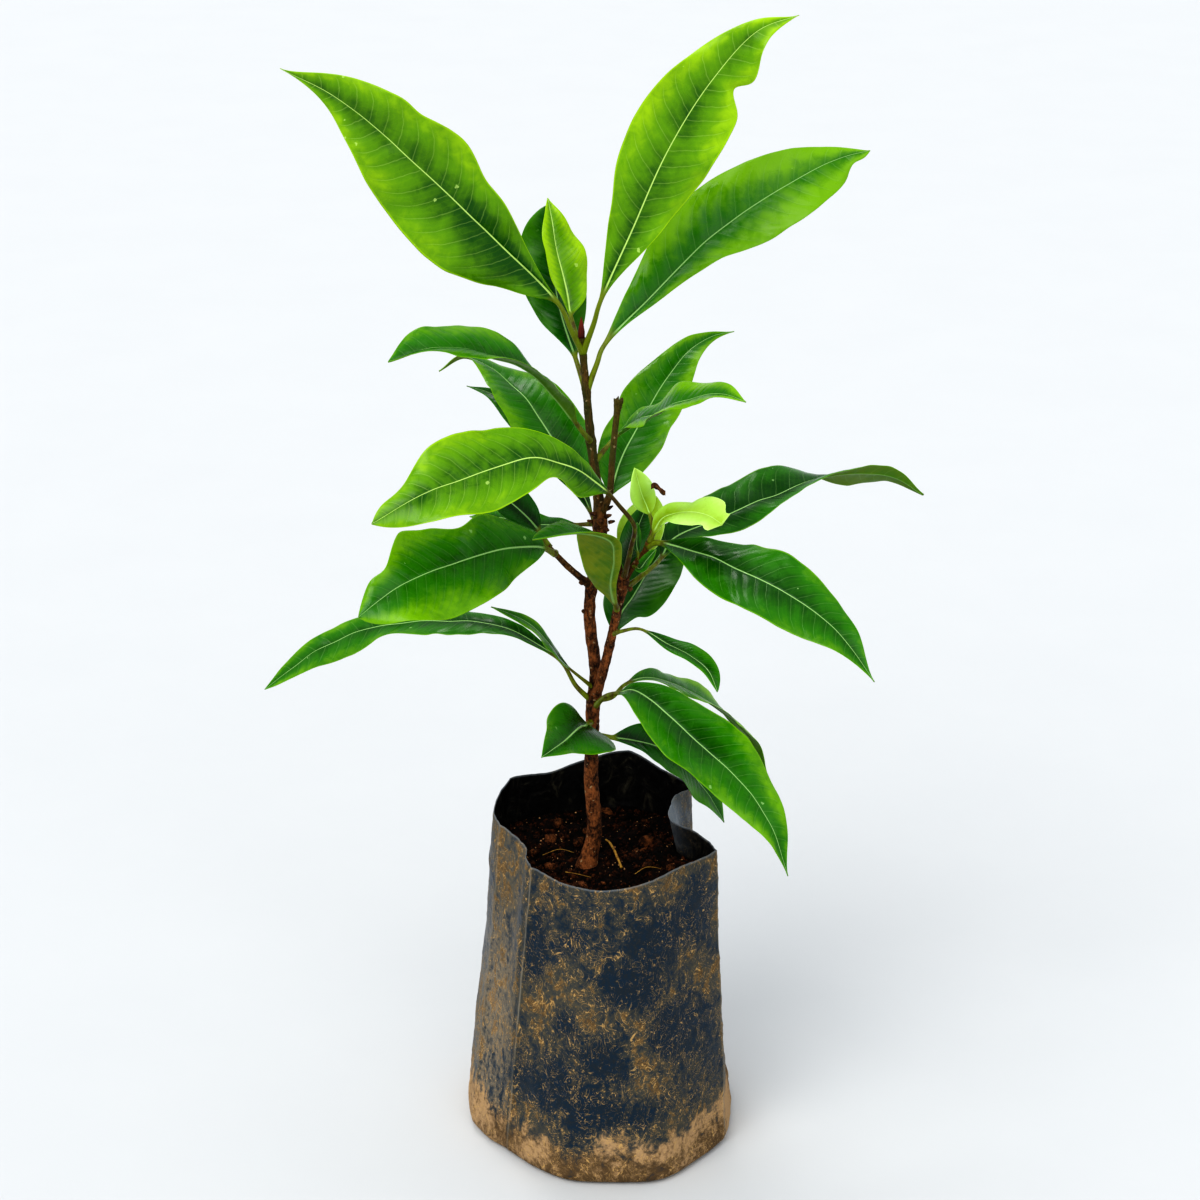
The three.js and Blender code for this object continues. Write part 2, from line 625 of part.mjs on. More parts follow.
addNode("nursery_bag", makeBag(), FILM_BLACK, 0.45);
addNode("soil", makeSoil(), SOIL_BROWN, 0.95);
for (const name of Object.keys(STEMS)) {
  addNode(name, makeBranch(name), name === "young_shoot" ? YOUNG_BARK : BARK, 0.85);
}
addNode("terminal_bud", makeBud(), YOUNG_BARK, 0.6);
for (const [name, entry] of Object.entries(LEAVES)) {
  addNode(name, makeLeaf({ ...PLAIN, ...entry }), leafColour(name), 0.35);
}

export default plant;
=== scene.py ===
import math

import bpy
import numpy as np
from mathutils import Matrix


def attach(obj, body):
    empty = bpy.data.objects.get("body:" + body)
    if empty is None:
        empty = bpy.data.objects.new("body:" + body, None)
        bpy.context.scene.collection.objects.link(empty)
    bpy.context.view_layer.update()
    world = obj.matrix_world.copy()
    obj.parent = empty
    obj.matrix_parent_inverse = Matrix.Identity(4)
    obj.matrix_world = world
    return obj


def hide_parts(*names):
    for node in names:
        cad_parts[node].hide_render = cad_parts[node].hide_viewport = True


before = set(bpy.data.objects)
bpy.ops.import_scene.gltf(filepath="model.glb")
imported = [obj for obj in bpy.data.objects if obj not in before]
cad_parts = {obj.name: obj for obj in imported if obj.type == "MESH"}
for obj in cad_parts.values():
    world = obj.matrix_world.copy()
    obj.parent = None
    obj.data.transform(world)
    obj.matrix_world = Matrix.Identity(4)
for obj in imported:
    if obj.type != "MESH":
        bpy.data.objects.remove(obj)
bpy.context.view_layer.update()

MM = 0.001

# Camera, as the photo was taken: in front, a little above, looking down at the plant.
CAMERA_PLACE = (0, -0.87, 0.57)
CAMERA_PITCH = math.radians(22.9)
CAMERA_LENS = 84

# Studio
FLOOR_REACH = 40.0  # from the middle of the floor to its sides, in metres
FLOOR_GAP = 0.0002  # the floor lies just under the bag
FLOOR_TONES = ((0.585, 0.597, 0.61), (0.61, 0.62, 0.63))
SKY = (0.94, 0.97, 1.0, 1)
SKY_STRENGTH = 0.62

# Far, soft lights: degrees that each is turned, strength, width in degrees, colour.
LIGHTS = {
    "key": ((36, -26, 0), 1.45, 42, (1, 0.99, 0.96)),
    "back": ((-24, -12, 0), 0.42, 18, (1, 0.99, 0.97)),
    "fill": ((52, 40, 0), 0.35, 40, (0.95, 0.98, 1)),
}

# Leaves
LEAF_STEP = 0.9  # distance between a leaf's sections
LEAF_COLUMNS = 17  # points from the midrib to the margin
LEAF_FILM = 0.4  # thickness of a blade
CROWDING = 1.3  # power that draws those points in towards the midrib
MARGIN = 0.985  # of the half width, where the pale margin begins
CUP = 0.35  # how far a blade's rise flattens again towards its margin
CALM_WIDTH = 6  # half width under which a blade's ripples are calmed
WAVER = (0.04, 8)  # share of a blade's width that its outline wavers by, and over what length
NOISE_ROWS = (4.5, 9.5, 20.5)  # rows of the noise that the outline, the frills and the veins follow
BUCKLE = (0.6, 9, 8)  # height, length and width of a blade's soft buckles
FRILL = (0.5, 4)  # height and length of the small frills at its margin
COLLAR = 0.4  # how much wider a petiole is where it springs from its stem
COLLAR_REACH = 4  # distance over which that width is lost
PETIOLE = (0.45, 0.95)  # radius of the thinnest and of the thickest petiole
PETIOLE_GROWTH = 0.05  # how much of a leaf's half width its petiole's radius gains
RIB_THIN = 0.55  # of the petiole's radius, where it has run into the blade
RIB_REACH = 1.2  # of the half width: how far the petiole runs on into the blade
RIB_TIP = 0.12  # radius of the rib at the tip
TUBE_END = (0.3, 2.6)  # half widths, in its radii, over which the petiole's tube turns to a sheet
GROOVE = (0.45, 0.75)  # depth and width of the groove above the rib, in its radii
RIDGE = (1.15, 1)  # depth and width of the ridge below it
VEINS = 20  # side veins on each half of a blade
VEIN_SWEEP = (0.55, 0.4)  # how far they run on towards the tip: all the way out, and at the margin
VEIN_STAGGER = 0.4  # how far those on the right stand behind those on the left, of a space
VEIN_WANDER = 0.25  # how far one strays, of a space
QUILT = 0.12  # how far the blade bulges between two side veins

# Stems
STEM_AROUND = 56  # points round a stem
STEM_STEP = 0.4  # distance between a stem's rings
FURROWS = ((9, 3, 1), (23, 1.1, 0.6))  # broad and narrow ones: how many go round, length, weight
SCAR = (0.12, 0.45, 0.4)  # line under a knot: depth, width, and share of the knot's reach below it
FLARE = (0.3, 7)  # height and reach of the three swellings at the foot of the trunk
TORN = 1.5  # length of a torn tip
TORN_ROW = 5.5  # row of the narrow furrows' noise that its splinters follow

# Bag and soil
FOOT_ROUND = 4  # rounding between the bag's underside and its wall
FILM = 0.35  # thickness of the film with its dried mud
SOIL_TOP = 108  # height of the soil at the trunk
SOIL_LUMP = 2.2  # height of its broad lumps
SOIL_FLAT = 8  # distance from the trunk within which it has none
SOIL_DIP = 3  # how much lower it lies at the film
SOIL_EDGE = 0.9  # of the way up the wall, just above where the soil meets the bag
SOIL_INSET = 0.75  # from the outer wall to the edge of the soil
SOIL_HEAP = (1.6, 7)  # height and reach of the low heap round the trunk
SOIL_CLODS = ((0.75, 3.1), (0.375, 1.3))  # height and length of its coarse and fine crumbs
SOIL_SKIRT = 18  # how far the soil's edge reaches down
SOIL_RINGS = 110  # rings of points from the trunk out to the film
BURIED_INSET = 2.5  # from the outer wall to the inner one, below the soil

# The bag at its foot and at its rim, anticlockwise from above, from the front left crease.
BAG_FOOT = [
    [-34, -27], [-24, -38], [-12, -46], [5, -48], [22, -46], [35, -34], [45, -20], [48, -5],
    [48, 8], [46, 22], [38, 36], [20, 45], [2, 47], [-14, 46], [-30, 40], [-42, 28], [-48, 12],
    [-47, -8], [-41, -20],
]
BAG_RIM = [
    [-25, -29, 118], [-19, -33, 116], [-10, -38, 114], [0, -42, 114], [13, -39, 115],
    [27, -30, 117], [39, -18, 117], [34, -6, 117], [24, 4, 118], [26, 10, 123], [32, 22, 121],
    [22, 30, 124], [10, 36, 128], [-5, 34, 126], [-18, 32, 122], [-31, 24, 123], [-37, 10, 118],
    [-31, -7, 118], [-26, -18, 118],
]
BAG_CORNERS = len(BAG_FOOT)
BAG_POINTS = 22  # points between two named corners
BAG_RINGS = (150, 26)  # rings up its outside, and down as much of its inside as is seen
BAG_SEEN = 0.83  # of its height: down to here its inside is seen

# The film's folds, ridges, small ridges and grain, as noise: seed, how many go round the bag,
# how far they slant on their way up, and how many stand one above another. Then their heights.
FILM_NOISES = [(11, 14, 0, 3.2), (12, 34, 6, 9), (13, 90, 20, 24), (14, 210, 0, 60)]
FILM_HEIGHTS = (0.7, 0.35, 0.2, 0.05)

# Sharp creases of the film: corner at the foot and at the rim, how far it stands out, its width.
BAG_CREASES = [
    (0.1, 0.4, 1.0, 0.09), (17.2, 16.6, 0.8, 0.12), (5.9, 6.0, 1.1, 0.08), (8.6, 7.3, 0.6, 0.12),
    (12.4, 12.0, 0.7, 0.1), (15.2, 15.0, 0.8, 0.1), (10.1, 10.2, 0.7, 0.1),
]

# Cleaner patches of the film: corner, share of its height, reach each way.
CLEAN_PATCHES = [
    (3.0, 0.25, 0.8, 0.07), (2.8, 0.45, 0.6, 0.07), (4.3, 0.8, 0.6, 0.09), (3.7, 0.66, 0.5, 0.05),
    (0.8, 0.74, 0.35, 0.1), (1.9, 0.55, 0.4, 0.05), (4.6, 0.5, 0.5, 0.06), (1.6, 0.32, 0.4, 0.06),
    (5.4, 0.85, 0.3, 0.08), (18.4, 0.8, 0.5, 0.1), (9.5, 0.5, 1.2, 0.12), (12.5, 0.4, 1.3, 0.15),
    (15.5, 0.6, 1.2, 0.15),
]
# The see-through fold is painted lighter, as light shining through the film.
CLEAR_CORNER = (8.4, 0.9)  # the clear fold at the rim: corner and reach
# The greyed sides are partly dust and partly a painted highlight where light falls on the film.
GREYED_SIDES = [(17.6, 1.6, 1), (6.4, 0.5, 0.6)]  # greyed sides: corner, reach and strength

# Each stem: the stem it grows on and how high, its radius at foot and tip, its knots by height,
# extra radius and reach, and its route.
STEMS = dict(
    main_stem=dict(radius=[2.75, 1.15], knots=[[108, 1.1, 5], [171, 0.35, 5], [212, 0.35, 3],
        [234, 0.9, 6], [262, 0.35, 2], [280, 0.3, 2], [296, 0.35, 2]], route=[[-6, -14, 100],
        [-5, -14, 108], [-2, -13, 121], [-3, -12, 141], [-2.5, -12, 165], [-1.5, -12, 181],
        [-3.5, -11, 204], [0, -10, 234], [-3, -8, 263], [-5, -7, 286], [-6, -7, 297]]),
    second_stem=dict(on="main_stem", at=171, radius=[1.75, 1.35], knots=[[217, 0.6, 4]],
        route=[[0, -15, 179], [2, -17, 188], [5, -19, 203], [8, -21, 220]]),
    left_twig=dict(on="main_stem", at=212, radius=[1.1, 0.85], knots=[[212, 0.5, 3]],
        route=[[-10, -17, 221], [-17, -27, 233]]),
    broken_twig=dict(on="main_stem", at=236, radius=[1.15, 0.95], knots=[[279, 0.7, 3]],
        route=[[3, -13, 245], [4, -15, 258], [5, -16, 270], [6, -16, 279]]),
    young_shoot=dict(on="second_stem", at=217, radius=[1.05, 0.8], knots=[[233, 0.3, 2]],
        route=[[11, -22, 224], [15, -25, 231], [18, -27, 241]]),
    dead_snag=dict(on="second_stem", at=215, radius=[1, 0.9], knots=[], route=[[6, -19, 224],
        [4, -18, 232]]),
)
TRUNK_FOOT = np.array(STEMS["main_stem"]["route"][1][:2], float)  # where it leaves the soil

# Thin roots on the soil: route, and the radius at its two ends.
ROOTS = [
    ([[2.1, 2.9, 110], [3.6, -3, 111.5], [5.6, -10, 111], [7.4, -17, 109.6]], (0.3, 0.5)),
    ([[-12, -20, 109.5], [-8, -23, 110.4], [-3, -24, 109.6]], (0.16, 0.1)),
    ([[12, -22, 109.8], [16, -19, 110.8], [22, -18, 109.6]], (0.16, 0.1)),
    ([[-20, -6, 108.6], [-14, -4, 109.8], [-9, -5, 109]], (0.14, 0.1)),
]

# Broken scales on the stems: foot, direction, length and radius.
PEGS = [
    [(-1.6, -11.6, 238), (-0.8, -0.5, 0.3), 2.2, 0.7], [(1.9, -11.4, 237), (0.8, -0.5, 0.5), 2.4, 0.7],
    [(-1.0, -12.2, 234), (-0.5, -0.9, -0.1), 1.8, 0.8], [(1.6, -12.2, 233), (0.7, -0.8, 0.1), 2.0, 0.8],
    [(-2.4, -10.4, 235), (-1, -0.1, 0.2), 1.9, 0.6], [(2.8, -10.2, 234.5), (1, -0.1, 0.3), 2.2, 0.6],
    [(0.4, -12.6, 236), (0.1, -1, 0.4), 1.6, 0.8], [(2.4, -11, 239.5), (0.9, -0.3, 0.7), 2.4, 0.6],
    [(-2.2, -12.5, 213), (0.3, -0.9, 0.3), 1.2, 0.9], [(-5.8, -12.5, 214), (-0.9, -0.5, 0.4), 1.3, 0.8],
    [(8.6, -22.2, 218), (0.3, -0.9, 0.4), 1.4, 0.9], [(9.6, -21.4, 215.5), (0.9, -0.5, 0.2), 1.2, 0.8],
    [(6.4, -20.9, 217.5), (-0.9, -0.3, 0.4), 1.2, 0.8], [(5.4, -20.8, 206), (0.5, -0.9, 0), 0.9, 0.8],
    [(-5.4, -13, 204), (-0.9, -0.5, 0.2), 0.8, 0.7], [(-1, -13.8, 160), (0.4, -0.9, 0.1), 0.6, 0.8],
]

# Each leaf. Its looks: the finish, how much lighter it is as a whole (partly its own green, partly
# painted light and shade for how light falls on it), how brown its petiole is, and how far its
# underside turns to a lighter yellow olive, partly its own yellowing and partly painted light. Its
# place: the stem it grows on and how high, and the length of its petiole. Its blade: half widths left
# and right of the midrib, where each is widest, how fast it tapers, the fold of its halves in degrees,
# its ripples (height, count and phase), the way that its upper side faces from foot to tip, its
# route, and the dents of its outline (side, place, reach and depth).
LEAVES = dict(
    leaf_top_left=dict(slot="lime_leaf", tone=0.05, brown=-0.12, at=292, stalk=20, half=[19, 15.5],
        peak=[0.42, 0.56], taper=3.2, fold=14, wave=[1.2, 3, 1], face=[-0.15, -0.92, 0.2],
        route=[[-9, -10, 300], [-13, -13, 310], [-32, -19, 332], [-54, -25, 356], [-79, -31, 380],
        [-96, -34, 390]], dents=[[1, 0.4, 0.05, 1.5], [1, 0.66, 0.04, 1.2], [1, 0.53, 0.05, -0.8]]),
    leaf_top_young=dict(slot="lime_leaf", tone=0.8, at=292, stalk=13, half=[5, 9], peak=[0.5, 0.42],
        taper=1.9, fold=14, face=[0.4, -0.85, 0.35], route=[[-9, -2, 301], [-11, 4, 310], [-14, 11, 321],
        [-17, 20, 336]]),
    leaf_top_back=dict(slot="dark_leaf", tone=0.8, at=279, stalk=12, half=[11.5, 10], peak=[0.62, 0.5],
        face=[0, -0.85, 0.5], route=[[-8, 0, 288], [-13, 12, 300], [-16, 24, 314], [-18, 33, 330]]),
    leaf_top_middle=dict(slot="lime_leaf", tone=0.2, brown=-0.2, at=292, stalk=20, half=[14, 14.5],
        peak=[0.5, 0.55], taper=3, fold=10, wave=[1.5, 3, 2], face=[0, -0.95, 0.3], route=[[-2, -11, 303],
        [0, -14, 311], [10, -16, 335], [21, -18, 361], [34, -20, 383], [48, -22, 399], [60, -24, 404]],
        dents=[[1, 0.72, 0.035, 5], [1, 0.8, 0.04, -0.8], [-1, 0.3, 0.08, 1.2]]),
    leaf_top_right=dict(tone=0.95, brown=-0.15, at=279, stalk=15, half=[15, 13], peak=[0.52, 0.66],
        taper=2.6, fold=14, wave=[1.2, 3, 0], face=[-0.15, -0.9, 0.45], route=[[-1, -6, 288], [1, -4, 293],
        [16, 4, 307], [37, 12, 326], [62, 20, 341], [78, 25, 348], [88, 27, 350]],
        dents=[[1, 0.94, 0.03, 2], [1, 0.35, 0.18, 2]]),
    leaf_left_arched=dict(at=262, stalk=12, half=[10, 12], peak=[0.5, 0.6], taper=2.2, fold=24,
        face=[[0.2, 0.15, 0.95], [-0.1, -0.3, 0.95]], route=[[-6, -14, 268], [-13, -20, 280],
        [-25, -27, 294], [-41, -33, 301], [-54, -37, 303], [-66, -38, 299]]),
    leaf_left_folded=dict(tone=0.4, olive=0.5, at=247, half=[11, 13], peak=[0.4, 0.3], taper=2.2,
        face=[[0.2, -0.8, 0.6], [0.1, -0.6, 0.8], [-0.1, 0.1, 1], [-0.3, 0.5, 0.8]], route=[[-12, 6, 253],
        [-24, 22, 265], [-36, 36, 272], [-46, 41, 275], [-55, 41, 270]]),
    leaf_left_slim=dict(slot="dark_leaf", at=229, half=[6, 5], taper=2.4, face=[0, -0.7, 0.7],
        route=[[-5, 0, 239], [-16, 18, 250], [-26, 31, 256], [-37, 43, 261], [-46, 49, 262]]),
    leaf_left_bright=dict(slot="lime_leaf", tone=-0.15, brown=0.2, on="second_stem", at=218, stalk=46,
        half=[13.5, 14], peak=[0.6, 0.6], taper=2.2, fold=8, wave=[1.5, 2.5, 2], face=[0, -0.72, 0.7],
        route=[[10, -27, 232], [11, -33, 242], [6, -40, 252], [0, -46, 261], [-11, -54, 271],
        [-22, -60, 275], [-37, -68, 273], [-52, -76, 270], [-69, -82, 262]], dents=[[-1, 0.33, 0.08, 3],
        [-1, 0.14, 0.07, -3], [1, 0.28, 0.13, 2.5], [1, 0.85, 0.09, 3.6]]),
    leaf_left_dark=dict(slot="dark_leaf", on="left_twig", at=232, stalk=6, half=[5.5, 8],
        face=[0, -0.7, 0.7], route=[[-21, -25, 239], [-29, -27, 248], [-39, -29, 257], [-49, -31, 262]]),
    leaf_left_large=dict(tone=0.55, on="left_twig", at=229, half=[17, 14], peak=[0.58, 0.48], taper=1.7,
        fold=6, wave=[1.8, 2.5, 1], face=[0, -0.8, 0.6], route=[[-20, -33, 235], [-32, -43, 238],
        [-50, -56, 237], [-64, -66, 234], [-75, -72, 227]], dents=[[1, 0.42, 0.08, 3.5],
        [1, 0.66, 0.07, -3], [1, 0.8, 0.05, 2.5], [-1, 0.25, 0.1, 0.5]]),
    leaf_front_curled=dict(brown=0.05, olive=0.9, on="second_stem", at=207, stalk=5, half=[2.5, 12],
        peak=[0.5, 0.5], taper=1.5, wave=[0.4, 2, 0], face=[[0.3, 0.7, 0.6], [0.1, 0.5, 0.85],
        [-0.1, -0.3, 0.95]], route=[[3.5, -31, 221], [4.5, -38, 233], [3, -46, 243], [-7, -55, 249],
        [-21, -62, 249]]),
    leaf_left_inner=dict(brown=0.1, at=234, half=[6, 4.5], face=[0, -0.5, 0.85], route=[[-13, -6, 232],
        [-23, 0, 230], [-34, 6, 230], [-44, 12, 228]]),
    leaf_low_left_twisted=dict(at=170, stalk=22, half=[8.5, 6.5], peak=[0.5, 0.5], taper=1.8,
        face=[[0, -0.2, 1], [0, -0.3, 0.95], [-0.1, -0.7, 0.7], [-0.2, -0.75, 0.6]], route=[[-8, -14, 177],
        [-13, -14, 186], [-22, -12, 192], [-32, -9, 196], [-57, 0, 195], [-79, 9, 188], [-97, 14, 178],
        [-117, 18, 161]], dents=[[-1, 0.52, 0.08, 3], [1, 0.55, 0.1, 1]]),
    leaf_low_left_small=dict(at=175, stalk=15, half=[4, 3], wave=[0.5, 2, 0], face=[0.4, -0.35, 0.8],
        route=[[-13, -22, 190], [-17, -28, 199], [-23, -33, 208], [-35, -40, 217]]),
    leaf_low_front=dict(at=163, stalk=7, half=[14, 10.5], peak=[0.2, 0.32], taper=1.5, wave=[1, 1.5, 0],
        face=[0.5, -0.2, 0.8], route=[[-5, -20, 165], [-7, -26, 167], [-12, -38, 168], [-19, -50, 168]],
        dents=[[-1, 0.6, 0.15, 2.5]]),
    leaf_right_back=dict(tone=0.6, at=240, stalk=9, half=[10.5, 11.5], peak=[0.38, 0.36], taper=2.2,
        wave=[1.5, 2.5, 1], face=[-0.1, -0.75, 0.65], route=[[3, -2, 241], [7, 10, 249], [17, 26, 263],
        [29, 40, 276], [38, 48, 280], [46, 51, 281]], dents=[[-1, 0.36, 0.06, 1.5]]),
    leaf_right_arched=dict(tone=0.9, at=255, stalk=12, half=[8, 7.5], fold=18, face=[0, -0.5, 0.9],
        route=[[5, -4, 262], [9, -8, 267], [18, -20, 276], [28, -32, 285], [38, -42, 290],
        [45, -50, 290]]),
    leaf_right_twisted=dict(tone=-0.35, olive=0.25, on="second_stem", at=214, stalk=20, half=[12, 7.5],
        peak=[0.42, 0.32], taper=2.3, fold=14, face=[[-0.1, -0.45, 0.9], [0, -0.5, 0.87],
        [0.1, -0.1, 0.95], [0.2, 0.85, 0.4], [0.1, 0.8, 0.5]], route=[[15, -16, 219], [20, -9, 221],
        [24, -2, 225], [39, 8, 228], [56, 18, 232], [76, 29, 236], [89, 36, 235], [102, 42, 231],
        [113, 46, 223]], dents=[[-1, 0.84, 0.12, -2.8], [1, 0.84, 0.12, -2.2]]),
    leaf_right_large=dict(on="young_shoot", at=232, stalk=4, half=[12, 13.5], peak=[0.48, 0.48], taper=2.8,
        fold=5, face=[0.15, -0.62, 0.78], route=[[18, -27, 234], [29, -36, 235], [44, -47, 233],
        [60, -57, 228], [75, -66, 219], [86, -72, 205]]),
    leaf_young_left=dict(slot="pale_leaf", on="young_shoot", at=239, stalk=5, half=[4.5, 4.5], taper=1.6,
        fold=24, wave=[0.4, 1.5, 0], face=[0.3, -0.85, 0.3], route=[[15, -27, 247], [13, -30, 253],
        [11, -33, 262]]),
    leaf_young_right=dict(slot="pale_leaf", on="young_shoot", at=234, stalk=4, half=[6.5, 6.5],
        peak=[0.78, 0.78], taper=0.9, wave=[0.8, 1.5, 0], face=[[-0.3, -0.8, 0.5], [0, -0.55, 0.85],
        [0.2, -0.8, 0.5]], route=[[20, -31, 244], [27, -43, 251], [34, -51, 252.5], [38, -57, 252]],
        dents=[[-1, 0.93, 0.04, 2], [1, 0.9, 0.04, 1.5]]),
    leaf_middle_back=dict(slot="dark_leaf", tone=0.6, on="second_stem", at=193, half=[11, 11.5],
        face=[-0.1, -0.75, 0.65], route=[[7, -2, 198], [11, 6, 201], [17, 17, 207], [25, 28, 214],
        [32, 34, 219]]),
    leaf_middle_dark=dict(slot="dark_leaf", on="second_stem", at=217, stalk=5, half=[4.5, 5], taper=1.8,
        wave=[0.3, 1.5, 0], face=[-0.2, -0.85, 0.4], route=[[10, -15, 227], [13, -12, 235],
        [16, -10, 242]]),
    leaf_middle_pale=dict(slot="pale_leaf", tone=-0.9, on="second_stem", at=216, stalk=9, half=[7.5, 7.5],
        taper=1.6, wave=[0.6, 1.5, 0], face=[0, -0.8, 0.6], route=[[11, -9, 224], [15, 1, 231],
        [19, 10, 236]]),
    leaf_shoot_narrow=dict(on="young_shoot", at=227, stalk=3, half=[1.4, 1.4], taper=1.2, wave=[0, 1, 0],
        face=[0, -0.9, 0.4], route=[[12, -25, 232], [12, -26, 236], [12, -27, 241]]),
    leaf_shoot_small=dict(on="young_shoot", at=223, stalk=3, half=[2, 2], taper=1.2, wave=[0, 1, 0],
        face=[0.1, -0.7, 0.7], route=[[13, -27, 225], [15, -30, 229], [18, -33, 234]]),
    leaf_right_drooping=dict(tone=-0.2, on="second_stem", at=198, stalk=16, half=[4.5, 3], peak=[0.6, 0.5],
        wave=[0.5, 2, 0], face=[0.1, -0.4, 0.9], route=[[7, -23, 201], [13, -28, 204], [21, -34, 202],
        [29, -40, 200], [35, -44, 196], [38, -47, 190]]),
    leaf_low_right_arched=dict(tone=0.7, at=171, stalk=14, half=[7.5, 7], taper=2.2, face=[[0, -0.4, 0.9],
        [0, -0.3, 0.95], [0.4, 0.2, 0.9], [0.6, 0.55, 0.6]], route=[[4, -10, 171], [8, -7, 174],
        [14, -1, 174], [22, 6, 170], [31, 13, 163], [44, 21, 150], [54, 27, 136], [60, 30, 122]]),
    leaf_low_right_large=dict(tone=0.3, at=168, stalk=20, half=[13, 13], peak=[0.46, 0.42], taper=2.6,
        fold=8, face=[0.25, -0.55, 0.8], route=[[2, -20, 176], [6, -26, 180], [11, -31, 183],
        [21, -40, 180], [32, -49, 173], [44, -57, 164], [54, -64, 153], [61, -68, 134]]),
    leaf_low_right_dark=dict(slot="dark_leaf", tone=0.4, brown=-0.1, at=158, half=[10.5, 8.5], taper=2.2,
        face=[0.2, -0.5, 0.8], route=[[4, -8, 155], [14, -3, 151], [25, 3, 143], [36, 9, 128],
        [44, 14, 111]]),
)

# What a leaf has where its own entry says nothing else.
PLAIN = dict(
    slot="green_leaf", tone=0, brown=0, olive=0, on="main_stem", stalk=8, peak=[0.47, 0.47], taper=2,
    fold=12, wave=[1.2, 2.5, 0], dents=[],
)


# Shapes

def unit(vectors):
    """Each vector of an array divided by its own length."""
    return vectors / np.linalg.norm(vectors, axis=-1, keepdims=True)


def stacked(*parts):
    """Arrays of x, of y and of z, or of three marks, stretched to one shape and put together."""
    return np.stack(np.broadcast_arrays(*parts), axis=-1)


def turns(count):
    """Angles that divide a full turn."""
    return np.linspace(0, 2 * np.pi, count, endpoint=False)


def bump(value, middle, reach):
    """A smooth hump of height 1: exp(-((value - middle) / reach)^2)."""
    return np.exp(-(((value - middle) / reach) ** 2))


def smoothstep(low, high, value):
    """0 below low, 1 above high, and 3t^2 - 2t^3 between them."""
    share = np.clip((value - low) / (high - low), 0, 1)
    return share * share * (3 - 2 * share)


def lattice_noise(seed, around=64, along=64):
    """Smooth noise from -1 to 1: seeded random values on a square lattice that repeats after
    `around` cells one way and `along` the other, joined by 3t^2 - 2t^3 on both axes."""
    table = np.random.default_rng(seed).uniform(-1, 1, (around, along))

    def read(x, y):
        i, j = np.floor(x).astype(int), np.floor(y).astype(int)
        u, v = smoothstep(0, 1, x - i), smoothstep(0, 1, y - j)
        near, far = i % around, (i + 1) % around
        low, high = j % along, (j + 1) % along
        first = table[near, low] * (1 - u) + table[far, low] * u
        second = table[near, high] * (1 - u) + table[far, high] * u
        return first * (1 - v) + second * v

    return read


def columns_at(place, places, table):
    """Each column of a table, whose rows stand at `places`, read at other places."""
    return np.stack([np.interp(place, places, column) for column in table.T], axis=-1)


def spline(chain, place):
    """A centripetal Catmull-Rom curve through a chain's inner points, read at fractional places:
    on each stretch a cubic between two points, whose end slopes weigh the neighbouring chords
    by the square roots of their lengths."""
    first = np.clip(np.floor(place).astype(int), 0, len(chain) - 4)
    w = (place - first)[:, None]
    x0, x1, x2, x3 = (chain[first + k] for k in range(4))
    d0, d1, d2 = (np.sqrt(np.linalg.norm(b - a, axis=1))[:, None]
                  for a, b in ((x0, x1), (x1, x2), (x2, x3)))
    leaving = ((x1 - x0) / d0 - (x2 - x0) / (d0 + d1) + (x2 - x1) / d1) * d1
    arriving = ((x2 - x1) / d1 - (x3 - x1) / (d1 + d2) + (x3 - x2) / d2) * d1
    ends = x1 * (2 * w**3 - 3 * w**2 + 1) + x2 * (3 * w**2 - 2 * w**3)
    return ends + leaving * (w**3 - 2 * w**2 + w) + arriving * (w**3 - w**2)


class Route:
    """A smooth line through given points in millimetres, read by the distance along it."""

    SAMPLES = 600

    def __init__(self, points):
        p = np.array(points, float) * MM
        chain = np.vstack([2 * p[0] - p[1], p, 2 * p[-1] - p[-2]])
        self.line = spline(chain, np.linspace(0, len(p) - 1, self.SAMPLES))
        steps = np.linalg.norm(np.diff(self.line, axis=0), axis=1)
        self.distance = np.concatenate([[0], np.cumsum(steps)])
        self.length = self.distance[-1]
        self.slope = unit(np.gradient(self.line, self.distance, axis=0))

    def read(self, distance):
        """Points and directions at an array of distances."""
        slope = unit(columns_at(distance, self.distance, self.slope))
        return columns_at(distance, self.distance, self.line), slope


def axis_at(stem, height):
    """The point of a stem's axis at a height, in millimetres."""
    line = Route(STEMS[stem]["route"]).line
    return columns_at(height * MM, line[:, 2], line) / MM


def circles(centre, along, across, turn, radius):
    """Rings round the points of a line: centre + radius * (across * cos + second * sin), where
    `second` stands square to the line and to `across`."""
    second = np.cross(along, across)
    ring = across[:, None] * np.cos(turn)[:, None] + second[:, None] * np.sin(turn)[:, None]
    return centre[:, None] + radius[..., None] * ring


def loft(rings, marks):
    """A closed skin through rings of equally many points, with a fan over the first and the last
    ring. `marks` holds one vector for each point. Gives points, faces and marks."""
    count, around = rings.shape[:2]
    index = np.arange(count * around).reshape(count, around)
    turned = np.roll(index, -1, axis=1)
    quads = np.stack([index[:-1], turned[:-1], turned[1:], index[1:]], axis=-1).reshape(-1, 4)
    start = count * around
    first = np.stack([np.full(around, start), turned[0], index[0]], axis=-1)
    last = np.stack([np.full(around, start + 1), index[-1], turned[-1]], axis=-1)

    def with_ends(values):
        return np.vstack([values.reshape(start, -1), values[0].mean(0), values[-1].mean(0)])

    faces = quads.tolist() + first.tolist() + last.tolist()
    return with_ends(rings), faces, {name: with_ends(values) for name, values in marks.items()}


def join(shapes):
    """Several shapes without marks as one."""
    points, faces, start = [], [], 0
    for own, own_faces, _ in shapes:
        points.append(own)
        faces += [[corner + start for corner in face] for face in own_faces]
        start += len(own)
    return np.vstack(points), faces, {}


def add_object(name, data):
    """A new object at the origin of the scene."""
    added = bpy.data.objects.new(name, data)
    bpy.context.scene.collection.objects.link(added)
    return added


